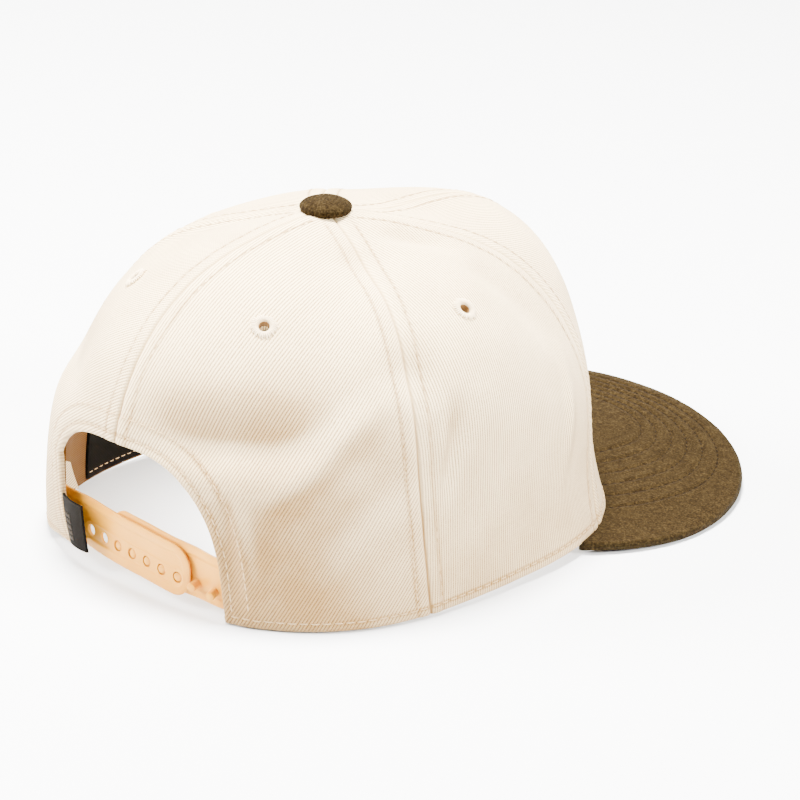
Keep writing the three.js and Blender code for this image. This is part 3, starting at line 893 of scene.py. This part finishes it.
def ribbed_cloth(name, valley, ridge, pitch, depth, roughness=0.95, sheen=0.15, specular=0.12):
    """Cloth with slanting ribs, drawn over each piece's grain in millimetres, darkened by the painted shade
    in the grain's third value.
    """
    material = new_material(name, ridge, roughness, sheen, specular=specular)
    n = Nodes(material)
    vector = n.layer("grain").outputs["Vector"]
    across, run, tone = n.add("ShaderNodeSeparateXYZ", Vector=vector).outputs
    wander = n.math("MULTIPLY", n.math("SUBTRACT", n.noise(vector, 0.3), 0.5), 1.3)
    phase = n.math("MULTIPLY_ADD", across, 2 * math.pi / pitch, wander)
    twist = n.math("MULTIPLY_ADD", run, 2 * math.pi / (pitch * STRAND_PITCH), phase)
    mixed = n.math("MULTIPLY_ADD", n.wave(twist), 0.14, n.math("MULTIPLY", n.wave(phase), 0.56))
    height = n.math("MULTIPLY_ADD", n.noise(vector, 2.6, 3.0), 0.56, mixed)
    flatness = n.math("MULTIPLY_ADD", n.layer("pressed").outputs["Fac"], -0.85, 1.0)
    height = n.math("MULTIPLY_ADD", n.math("SUBTRACT", height, MEAN_HEIGHT), flatness, MEAN_HEIGHT)
    patches = n.math("MULTIPLY", n.math("SUBTRACT", n.noise(vector, 0.045, 3.0), 0.5), 0.5)
    tone = n.math("MINIMUM", n.math("MAXIMUM", n.math("ADD", tone, patches), 0.0), 1.0)
    colour = n.ramp(height, [(0.3, valley), (0.75, ridge)])
    # The painted shade, with random patches of tone, darkens the colour
    mix = n.add("ShaderNodeMixRGB", Fac=tone, Color1=colour, Color2=FULL_PAINTED_SHADE_AND_TONE)
    mix.blend_type = "MULTIPLY"
    n.finish(mix.outputs["Color"], height, depth * MM)
    return material


def speckled_wool(name, colours, ribs):
    material = new_material(name, colours[1], 0.95, 0.01, specular=0.03)
    n = Nodes(material)
    place = n.add("ShaderNodeTexCoord").outputs["Object"]
    fine = n.noise(place, 1500, 4.0)
    broad = n.noise(place, 420, 3.0)
    height = mixed = n.math("MULTIPLY_ADD", broad, 0.24, n.math("MULTIPLY", fine, 0.76))
    if ribs:
        x, y, _ = n.add("ShaderNodeSeparateXYZ", Vector=place).outputs
        slant = n.math("MULTIPLY_ADD", x, 3900, n.math("MULTIPLY", y, 1900))
        height = n.math("MULTIPLY_ADD", n.math("SINE", slant), 0.2, mixed)
    stops = zip((0.38, 0.5, 0.66), colours)
    n.finish(n.ramp(mixed, list(stops)), height, 0.35 * MM)
    return material


TWILL = ribbed_cloth("crown_twill", (0.34, 0.225, 0.1), (0.98, 0.82, 0.53), 1.02, 0.22)
# Cream thread coloured a darker tan: painted shade on the stitches
THREAD = new_material("shaded_cream_thread", (0.48, 0.335, 0.175), 0.7, 0.1)
EYELET_THREAD = new_material("eyelet_thread", (0.95, 0.8, 0.55), 0.6, 0.1)
SHADED_THREAD = new_material("shaded_thread", (0.2, 0.115, 0.045), 0.9)
WOOLS = [(0.006, 0.0033, 0.0009), (0.0125, 0.0081, 0.0028), (0.028, 0.0192, 0.0078)]
WOOL = speckled_wool("brown_wool", WOOLS, False)
BUTTON_WOOL = speckled_wool("button_wool", WOOLS, True)
BROWN_THREAD = new_material("brown_thread", (0.0035, 0.0018, 0.0006), 0.8, specular=0.05)
BAND_COLOURS = [(0.055, 0.02, 0.001), (0.1, 0.041, 0.003)]
BAND_CLOTH = ribbed_cloth("sweatband_cloth", *BAND_COLOURS, 0.8, 0.1, specular=0.05)
BLACK_COLOURS = [(0.0012, 0.0009, 0.0006), (0.005, 0.004, 0.003)]
BLACK_CLOTH = ribbed_cloth("black_weave", *BLACK_COLOURS, 0.55, 0.08, 0.9, 0, 0.06)
GREY_THREAD = new_material("grey_thread", (0.04, 0.033, 0.026), 0.7)
PLASTIC = new_material("strap_plastic", (0.62, 0.272, 0.012), 0.36, 0.0, 0.12, 0.3)
Nodes(PLASTIC).shader.inputs["Subsurface Radius"].default_value = (0.004, 0.002, 0.001)


# Crown
def build_crown():
    sewing = Sewing()
    for panel in PANELS:
        mesh_data, grain, pressed = panel.mesh()
        new_object(f"{panel.name}_cloth", mesh_data, TWILL, panel.name, grain, pressed)
        seam_rows(panel, sewing)
        rim_rows(panel, sewing)
        if panel.opening:
            opening_rows(panel, sewing)
    sewing.build("crown_stitching", THREAD)


# Eyelets
EYELET_THREADS = 34
EYELET_THREAD_RADIUS = 0.27
EYELET_TAPER = (1.1, 1.1, 0.9, 0.6, 0.55, 0.7, 1)
UNEVEN_ENDS = (-0.4, 0.3)
# The underlay is a dark ring of painted shade under the threads and down the hole's wall
EYELET_UNDERLAY = [
    # distance from the middle, height over the cloth, round a closed ring
    (3.5, 0.05),
    (3.2, 0.35),
    (2.8, 0.45),
    (2.2, 0.3),
    (1.75, -0.35),
    (1.7, -2.6),
    (2.0, -2.6),
    (2.1, -0.6),
    (3.3, -0.3),
]
EYELET_PROFILE = [
    # distance from the middle, height over the cloth
    (4.1, -0.2),
    (3.9, 0.3),
    (3.4, 0.65),
    (2.8, 0.75),
    (2.25, 0.55),
    (1.95, 0.1),
    (1.9, -1.0),
    (2.1, -2.1),
    (3.6, -2.2),
    (4.4, -1.8),
]


def build_eyelet(name, bearing, height, side):
    rise = rise_at_height(float(bearing), float(height))
    normal = crown_normal(bearing, rise)
    middle = crown_point(bearing, rise)
    spread = circle(EYELET_THREADS, *upright_axes(normal))
    profile = np.array(EYELET_PROFILE)
    reaches = np.tile(profile[:, 0], (EYELET_THREADS, 1))
    reaches[:, :2] += np.random.default_rng(5).uniform(*UNEVEN_ENDS, EYELET_THREADS)[:, None]
    paths = middle + reaches[..., None] * spread[:, None] + profile[None, :, 1, None] * normal
    normals = np.broadcast_to(normal, paths.shape)
    points, faces = tubes(paths, normals, EYELET_THREAD_RADIUS, flat=1.0, taper=EYELET_TAPER)
    add_eyelet_part(f"{name}_threads", points, faces, EYELET_THREAD, side, name)
    rings = np.array(EYELET_UNDERLAY)
    under = (middle + rings[:, 0, None, None] * spread + rings[:, 1, None, None] * normal).reshape(-1, 3)
    faces = (ring_quads(len(rings) + 1, EYELET_THREADS) % len(under)).tolist()
    add_eyelet_part(f"{name}_underlay", under, faces, SHADED_THREAD, side, None)


def add_eyelet_part(name, points, faces, material, side, node):
    if side < 0:
        points = mirror_x(points, -1)
        faces = [face[::-1] for face in faces]
    new_object(name, (points, faces), material, node, sharp=0)


def build_eyelets():
    for word, side in (("right", 1), ("left", -1)):
        for name, (bearing, height) in EYELETS.items():
            build_eyelet(f"{name}_{word}", bearing, height, side)


# Brim
BRIM = Sizes(corner=119.5, overhang=2, half_width=94.5, widest=82.5, tip=165.5, squareness=1.95)
BRIM_THICKNESS = 3.0
BRIM_TOPS = Sizes(corner=4.2, side=3.1, tip=7)
BRIM_ROWS = [
    # half width, where it is widest, front end, how far its back reaches
    (73.5, 103, 160, 70),
    (65.5, 106, 156.4, 64),
    (57.5, 109, 152.8, 58),
    (49.5, 112, 149.2, 54),
    (41.5, 115, 145.6, 50),
    (33.5, 118, 142, 46),
]


def brim_corner():
    wall = radius_at_height(float(BRIM.corner), BRIM_TOPS.corner)
    return polar(BRIM.corner, wall + BRIM.overhang, 0)


def brim_top(x, y):
    """A surface level along x, bowed across it, through the three heights of BRIM_TOPS."""
    corner = brim_corner()
    rows = [
        [1, corner[1], corner[0] ** 2],
        [1, -BRIM.widest, BRIM.half_width ** 2],
        [1, -BRIM.tip, 0],
    ]
    base, slope, bow = np.linalg.solve(np.array(rows), np.array(list(vars(BRIM_TOPS).values())))
    return base + slope * y + bow * x * x


def brim_outline(share):
    corner = brim_corner()
    back = math.acos(-corner[0] / BRIM.half_width)
    t = -back + (math.pi + 2 * back) * share
    side = np.where(t < math.pi / 2, -1, 1)
    past = np.where(t < 0, -t, t - math.pi)
    drop = (BRIM.widest + corner[1]) / math.sin(back)
    forward = BRIM.tip - BRIM.widest
    power = 2 / BRIM.squareness
    behind = (t < 0) | (t > math.pi)
    x = np.where(behind, np.cos(past), np.abs(np.cos(t)) ** power)
    y = np.where(behind, drop * np.sin(past), -forward * np.maximum(np.sin(t), 0) ** power)
    return np.stack([side * BRIM.half_width * x, y - BRIM.widest], axis=-1)


def brim_row_distance(row, x, y):
    half_width, widest, tip, back = row
    forward = np.where(-y > widest, tip - widest, back)
    dy = (-y - widest) / forward
    dx = x / half_width
    level = np.hypot(dx, dy)
    slope = np.hypot(dx / half_width, dy / forward) / np.maximum(level, 1e-6)
    return (level - 1) / np.maximum(slope, 1e-6)


def brim_relief(x, y):
    points = np.stack([x, y, np.zeros_like(x)], axis=-1)
    total = waves(points, BRIM_WAVES)
    for row in BRIM_ROWS:
        distance = brim_row_distance(row, x, y)
        total = total - 0.6 * bell(distance, 0.8) + 0.16 * bell(distance, 3)
    return total


def brim_wall(bearing):
    """How far out the crown's wall is, halfway up the brim's seat."""
    return radius_at_height(bearing, rim_height(bearing) + BRIM_THICKNESS / 2)


def build_brim():
    columns, rows = 300, 100
    share = np.linspace(0, 1, columns)
    bearing = BRIM.corner + (360 - 2 * BRIM.corner) * share
    seat = polar(bearing, brim_wall(bearing) - 0.4, 0)[:, :2]
    edge = brim_outline(share)
    length = np.linalg.norm(edge - seat, axis=1)
    t = 1 - (1 - np.linspace(0, 1, rows)) ** 1.25
    place = seat[None] + (edge - seat)[None] * t[:, None, None]
    x, y = place[..., 0], place[..., 1]
    relief = brim_relief(x, y)
    roll = edge_roll((1 - t)[:, None] * length[None], BRIM_THICKNESS)
    top = brim_top(x, y)
    upper = np.stack([x, y, top + relief - roll], axis=-1)
    lower = np.stack([x, y, top - BRIM_THICKNESS + roll + 0.4 * relief], axis=-1)
    mesh_data = closed_sheet(upper, lower, grid_quads(rows, columns)[:, ::-1])
    new_object("brim_cloth", mesh_data, WOOL, "brim")
    sew_brim()


def sew_brim():
    sewing = Sewing()
    for half_width, widest, tip, back in BRIM_ROWS:
        t = np.linspace(-0.9, math.pi + 0.9, 600)
        forward = np.where(np.sin(t) > 0, tip - widest, back)
        x = -half_width * np.cos(t)
        y = -widest - forward * np.sin(t)
        keep = np.hypot(x, y) > brim_wall(np.degrees(np.arctan2(-x, y)) % 360) + 1
        x, y = x[keep], y[keep]
        line = np.stack([x, y, brim_top(x, y) + brim_relief(x, y)], axis=-1)
        sewing.add(line, np.tile(UP, (len(x), 1)), 2.6, 0.8, 0.1)
    sewing.build("brim_stitching", BROWN_THREAD, 0.2)


# Button
BUTTON_RADIUS = 8.75
BUTTON_HEIGHT = 4.2
BUTTON_LIFT = 0.85


def build_button():
    base = crown_point(0.0, 90.0)[2] + BUTTON_LIFT
    t = np.linspace(0, math.pi / 2, 22)[:-1]
    skirt = BUTTON_HEIGHT * 0.2
    radius = BUTTON_RADIUS * np.concatenate([[0.8, 0.95], np.cos(t)])
    height = np.concatenate([[-0.9, -0.6], skirt + (BUTTON_HEIGHT - skirt) * np.sin(t) ** 1.1])
    columns = 72
    ring = circle(columns, np.array([1.0, 0, 0]), np.array([0, 1.0, 0]))
    points = (radius[:, None, None] * ring + (base + height)[:, None, None] * UP).reshape(-1, 3)
    points[:, 2] += 0.12 * noise(points, 4, 9)
    faces = ring_quads(len(radius), columns).tolist() + end_caps(1, len(radius), columns)
    new_object("button_cloth", (points, faces), BUTTON_WOOL, "button")


# Bands inside the crown
BAND = Sizes(start=31, end=329, foot=1.4, height=33.4, thickness=1.2)
BAND_DEPTH = Sizes(depth=2.4, lap=2, fade=(38, 46))
LABEL = Sizes(start=-97, end=-61, foot=2.6, height=28.6, thickness=1.0)
BAND_REACH = 85
FOLDED_END = [
    # bearing and height of its four corners on the left wall, in order round it
    (-46.3, 18.1),
    (-52.8, 13.5),
    (-57.6, 0.8),
    (-49.6, 6.2),
]


def band_radius(bearing, z):
    """How far out the sweatband's outer face is, under a smooth crown."""
    lap = BAND_DEPTH.lap * (1 - smooth(np.abs(half_turn(bearing)), *BAND_DEPTH.fade))
    return radius_at_height(bearing, z) - BAND_DEPTH.depth - lap


def build_band(name, material, band, columns, rows, depth, wrinkle):
    """A thin sheet that follows the crown's wall, a depth inside the sweatband's outer face."""
    bearing = np.linspace(band.start, band.end, columns)[None]
    share = np.linspace(0, 1, rows)[:, None]
    z = rim_height(bearing) + band.foot + band.height * share
    bearing, z = np.broadcast_arrays(bearing, z)
    base = band_radius(bearing, z) - depth
    folds = fold_depth(half_turn(bearing), rise_at_height(bearing, z), polar(bearing, base, z))
    base = base - np.maximum(folds, 0)
    soft = wrinkle * noise(polar(bearing, base, z), 9, 11) * np.sin(math.pi * share) ** 0.5
    sheets = [polar(bearing, base - level - np.maximum(soft, 0), z) for level in (0, band.thickness)]
    mesh_data = closed_sheet(*sheets, grid_quads(rows, columns))
    grain = grain_of(z, np.radians(bearing) * BAND_REACH)
    new_object(f"{name}_cloth", mesh_data, material, name, grain)


def build_bands():
    build_band("sweatband", BAND_CLOTH, BAND, 260, 26, 0, 0.8)
    depth = BAND.thickness + 0.1
    build_band("inside_label", BLACK_CLOTH, LABEL, 60, 30, depth, 0.3)
    sew_label(depth + LABEL.thickness)


def build_folded_end():
    """The end of the twill that is folded in over the sweatband beside the left leg."""
    rows, columns = 24, 14
    up = np.linspace(0, 1, rows)[:, None, None]
    across = np.linspace(0, 1, columns)[None, :, None]
    first, second, third, fourth = (np.array(corner) for corner in FOLDED_END)
    high = first * (1 - across) + second * across
    low = fourth * (1 - across) + third * across
    bearing, z = np.moveaxis(high * up + low * (1 - up), -1, 0)
    rounding = 0.5 * np.sin(math.pi * across[..., 0]) ** 0.5
    base = band_radius(bearing, z) - BAND.thickness - 0.6 - rounding
    sheets = [polar(bearing, base + level, z) for level in (0.8, 0)]
    mesh_data = closed_sheet(*sheets, grid_quads(rows, columns))
    # A fixed painted shade darkens the folded end inside the crown
    grain = grain_of(z, np.radians(bearing) * BAND_REACH, 0.35)
    new_object("folded_end_cloth", mesh_data, TWILL, grain=grain)


def sew_label(depth):
    sewing = Sewing()
    bearing = np.linspace(LABEL.end - 0.6, LABEL.start + 0.6, 80)
    for lift in (2.2, LABEL.height - 2.2):
        z = rim_height(bearing) + LABEL.foot + lift
        line = polar(bearing, band_radius(bearing, z) - depth - 0.05, z)
        sewing.add(line, unit(-line * np.array([1, 1, 0])), 2.0, 0.9, 0.2)
    sewing.build("label_stitching", THREAD, 0.17)


# Straps
STRAP = Sizes(foot=3.6, tilt=0.035, height=17.4, thickness=1.3, arc_radius=86, hidden_end=36)
STRAP_PLAN = [
    # bearing, depth of the outer face under the crown's
    (-36, 2.4),
    (-28, 2.6),
    (-18, 4.9),
    (0, 4.9),
    (17, 3.3),
    (27, 2.5),
    (36, 2.4),
]
STRAP_UPRIGHT = Sizes(bearing=28, fade=14)
STRAP_SHARP = 35
STRAP_CORNER = 0.42 * STRAP.height
SEWN_ALONG = math.radians(STRAP.hidden_end) * STRAP.arc_radius
HOLE_STRAP_END = -26.2
PEG_STRAP = Sizes(end=15, lift=1.2, step_along=14, gap=0.3)
PEG_STRAP_STEP = STRAP.thickness + PEG_STRAP.gap
HOLES = 7
PEG_PITCH = 7.7
FIRST_HOLE = 25.5
HOLE_HEIGHT = 6.3
HOLE_RADIUS = 1.95
PEG_RADIUS = 1.5
PEG_STANDS_OUT = 0.2
FREE_PEG_STANDS_OUT = 3.2
PEG_ROUNDING = 0.6
RING_RADIUS = 3.1
ROD_SIDES = 32


def strap_depth(bearing):
    total = np.full(np.shape(bearing), float(STRAP_PLAN[0][1]))
    for (start, low), (end, high) in zip(STRAP_PLAN[:-1], STRAP_PLAN[1:]):
        total = total + (high - low) * smooth(bearing, start, end)
    return total


def strap_point(place, height, depth):
    """A point a distance along the strap, up it and into it; away from its ends it stands upright."""
    place = np.asarray(place, float)
    bearing = -np.degrees(place / STRAP.arc_radius)
    z = STRAP.foot + STRAP.tilt * place + height
    upright = smooth(STRAP_UPRIGHT.bearing - np.abs(bearing), 0, STRAP_UPRIGHT.fade)
    leaning = radius_at_height(bearing, z)
    straight = radius_at_height(bearing, STRAP.foot + 0 * z)
    radius = leaning * (1 - upright) + straight * upright - strap_depth(bearing)
    return polar(bearing, radius - depth, z)


def peg_strap_step(place):
    """How far the strap with pegs steps in to pass behind the other one."""
    return PEG_STRAP_STEP * smooth(place, HOLE_STRAP_END - PEG_STRAP.step_along, HOLE_STRAP_END - 1)


def strap_edge_distance(place, height, turn, free):
    """Distance inside the outline, which is rounded at the free end and runs on past the sewn one."""
    half = STRAP.height / 2
    dx = (place - free) * turn + STRAP_CORNER
    dy = np.abs(height - half) - (half - STRAP_CORNER)
    outside = np.hypot(np.maximum(dx, 0), np.maximum(dy, 0)) + np.minimum(np.maximum(dx, dy), 0)
    return STRAP_CORNER - outside


def strap_mesh(sewn, free, inner):
    """A strap from its sewn end to its free end; the inner one has the pegs, the outer one the holes."""
    turn = np.sign(free - sewn)
    corner = free - turn * STRAP_CORNER
    t = np.linspace(0, math.pi / 2, 26)
    flat = np.arange(sewn, corner, turn * 0.5)
    place = np.concatenate([flat, corner + turn * STRAP_CORNER * np.sin(t)])
    inset = np.concatenate([0 * flat, STRAP_CORNER * (1 - np.cos(t))])
    if turn < 0:
        place, inset = place[::-1], inset[::-1]
    t = np.linspace(0, 1, 44)[:, None]
    share = (0.5 - 0.5 * np.cos(math.pi * t)) * 0.5 + t * 0.5
    height = inset + (STRAP.height - 2 * inset) * share
    place, height = np.broadcast_arrays(place, height)
    edge = strap_edge_distance(place, height, turn, free)
    front = 0.42 * (1 - smooth(edge, -0.6, 1.1)) + 0.4 * smooth(edge, 2.5, 3.5)
    back = STRAP.thickness - 0.3 * (1 - smooth(edge, -0.4, 0.9))
    if inner:
        step = peg_strap_step(place)
        front, back, height = front + step, back + step, height + PEG_STRAP.lift
    else:
        nearest = np.clip(place, FIRST_HOLE - (HOLES - 1) * PEG_PITCH, FIRST_HOLE)
        far = np.hypot(place - nearest, height - HOLE_HEIGHT)
        front = front - 0.24 * bell(far - RING_RADIUS, 0.4)
    sheets = [strap_point(place, height, depth) for depth in (front, back)]
    return closed_sheet(*sheets, grid_quads(*place.shape)[:, ::-1])


def rod(place, radius, levels):
    """A closed round rod through the straps, from rows of a depth and a share of its radius."""
    middles = [strap_point(place, HOLE_HEIGHT, depth) for depth, _ in levels]
    spread = radius * circle(ROD_SIDES, *upright_axes(unit(middles[-1] - middles[0])))
    rings = [middle + size * spread for middle, (_, size) in zip(middles, levels)]
    faces = ring_quads(len(levels), ROD_SIDES).tolist() + end_caps(1, len(levels), ROD_SIDES)
    return np.concatenate(rings), faces


def peg(place):
    root = float(peg_strap_step(np.array(place))) + STRAP.thickness / 2
    stands_out = PEG_STANDS_OUT if place > HOLE_STRAP_END else FREE_PEG_STANDS_OUT
    tip = root - PEG_STRAP_STEP - stands_out
    levels = [(root, 1.0), (tip + PEG_ROUNDING, 1.0), (tip + 0.35 * PEG_ROUNDING, 0.93), (tip, 0.72)]
    return rod(place, PEG_RADIUS, levels)


def join_meshes(parts):
    points, faces, first = [], [], 0
    for part_points, part_faces in parts:
        points.append(part_points)
        faces += [[first + v for v in face] for face in part_faces]
        first += len(part_points)
    return np.concatenate(points), faces


def build_strap(word, mesh_data):
    name = f"strap_with_{word}"
    return new_object(f"{name}_plastic", mesh_data, PLASTIC, name, sharp=STRAP_SHARP)


def build_straps():
    cut_holes(build_strap("holes", strap_mesh(SEWN_ALONG, HOLE_STRAP_END, False)))
    points, faces = strap_mesh(-SEWN_ALONG, PEG_STRAP.end, True)
    pegs = [peg(FIRST_HOLE - (i + 2) * PEG_PITCH) for i in range(HOLES)]
    build_strap("pegs", join_meshes([(points, faces.tolist())] + pegs))


def cut_holes(piece):
    through = [(4, 1.0), (-2.9, 1.0)]
    rods = [rod(FIRST_HOLE - i * PEG_PITCH, HOLE_RADIUS, through) for i in range(HOLES)]
    cutter = new_object("hole_cutter", join_meshes(rods), PLASTIC)
    change = piece.modifiers.new("holes", "BOOLEAN")
    change.object = cutter
    change.operation = "DIFFERENCE"
    change.solver = "EXACT"
    ready = piece.evaluated_get(bpy.context.evaluated_depsgraph_get())
    piece.data = bpy.data.meshes.new_from_object(ready)
    piece.modifiers.clear()
    piece.data.shade_smooth()
    piece.data.set_sharp_from_angle(angle=math.radians(STRAP_SHARP))
    bpy.data.objects.remove(cutter)


# Flag tag
TAG = Sizes(free_edge=20.2, height=17, foot=5.6, thickness=1.0)
TAG_STRIPES = (0.6, 0.72, 0.84)


def build_tag():
    share = np.linspace(0, 1, 34)[None]
    z = TAG.foot + TAG.height * np.linspace(0, 1, 44)[:, None] + 0 * share
    sheets = [tag_point(share, z, level) for level in (0.15, TAG.thickness)]
    mesh_data = closed_sheet(*sheets, grid_quads(*z.shape)[:, ::-1])
    grain = grain_of(z, tag_place(share, z))
    new_object("side_tag_cloth", mesh_data, BLACK_CLOTH, "side_tag", grain)
    sewing = Sewing()
    line_z = TAG.foot + TAG.height * np.linspace(0.14, 0.8, 30)
    for stripe in TAG_STRIPES:
        line = tag_point(np.full(30, stripe), line_z, 0.1)
        sewing.add(line, unit(line * np.array([1, 1, 0])), 1.5, 0.5, 0.1)
    sewing.build("side_tag_stripes", GREY_THREAD, 0.4)


def tag_place(share, z):
    edge = OPENING_HALF * (1 - (z / OPENING_HEIGHT) ** OPENING_SQUARENESS) ** (1 / OPENING_SQUARENESS)
    edge = edge - left_leg_lap(z) - 0.1
    return TAG.free_edge + (edge - TAG.free_edge) * share


def tag_point(share, z, level):
    bearing = -back_bearing(tag_place(share, z), z)
    bend = 0.5 * np.sin(math.pi * share) - 0.3 * (1 - share) ** 2
    return polar(bearing, radius_at_height(bearing, z) - level + bend, z)


# Stage
LIGHT_COLOUR = (1, 0.93, 0.82)
WORLD_STRENGTH = 0.4
FLOOR_COLOUR = (0.8, 0.86, 0.97)
FLOOR_REACH = 6.0
FLOOR_DROP = 0.0003
LIGHT_TARGET = (0.001, 0.04, 0.0)
LIGHTS = [
    # name, place, width, watts
    ("left softbox", (1.05, 1.05, 0.9), 0.95, 152),
    ("right softbox", (-1.4, -0.5, 0.75), 0.6, 88),
    ("overhead", (0.15, 0.0, 1.5), 0.6, 240),
    ("inside fill", (0, 0.05, 0.06), 0.06, 0.45),
]


def build_stage():
    mesh = bpy.data.meshes.new("floor")
    corners = [(x * FLOOR_REACH, y * FLOOR_REACH, 0) for x, y in ((-1, -1), (1, -1), (1, 1), (-1, 1))]
    mesh.from_pydata(corners, [], [(0, 1, 2, 3)])
    mesh.materials.append(new_material("pale_floor", FLOOR_COLOUR, 0.9))
    floor = add_to_scene("floor", mesh)
    floor.location.z = -FLOOR_DROP
    world = bpy.data.worlds.new("studio")
    world.use_nodes = True
    background = world.node_tree.nodes["Background"]
    background.inputs["Color"].default_value = (*LIGHT_COLOUR, 1)
    background.inputs["Strength"].default_value = WORLD_STRENGTH
    bpy.context.scene.world = world
    for name, place, size, power in LIGHTS:
        add_light(name, place, size, power)


def add_light(name, place, size, power):
    light = bpy.data.lights.new(name, "AREA")
    light.shape = "DISK"
    light.size = size
    light.energy = power
    light.color = LIGHT_COLOUR
    lamp = add_to_scene(name, light)
    lamp.location = place
    lamp.visible_camera = False
    aim(lamp, LIGHT_TARGET)


def aim(thing, target, roll=0.0):
    place = np.array(thing.location)
    back = unit(place - target)
    matrix = np.eye(4)
    matrix[:3] = np.stack([*turned(*upright_axes(back), roll), back, place], axis=1)
    thing.matrix_world = Matrix(matrix.tolist())


# Camera: angles in degrees, focal length in pixels of the picture, and the point it looks at, which is
# moved to the right and up as the camera sees it
CAMERA = Sizes(azimuth=44.77, elevation=21.17, roll=1.54, distance=1204.53, focal=3553.41)
TARGET = Sizes(point=(0, -30, 50), right=4.49, up=-13.6)
PICTURE_WIDTH = 800
SENSOR_WIDTH = 36


def build_camera():
    elevation = math.radians(CAMERA.elevation)
    back = polar(CAMERA.azimuth, math.cos(elevation), math.sin(elevation))
    right, upward = turned(*upright_axes(back), CAMERA.roll)
    target = TARGET.point + right * TARGET.right + upward * TARGET.up + np.array([0, AXIS_Y, 0])
    camera = bpy.data.cameras.new("camera")
    camera.sensor_width = SENSOR_WIDTH
    camera.lens = CAMERA.focal / PICTURE_WIDTH * SENSOR_WIDTH
    camera.clip_end = 50
    lens = add_to_scene("camera", camera)
    lens.location = (target + back * CAMERA.distance) * MM
    aim(lens, target * MM, CAMERA.roll)
    bpy.context.scene.camera = lens


build_crown()
build_eyelets()
build_brim()
build_button()
build_bands()
build_folded_end()
build_straps()
build_tag()
build_stage()
build_camera()
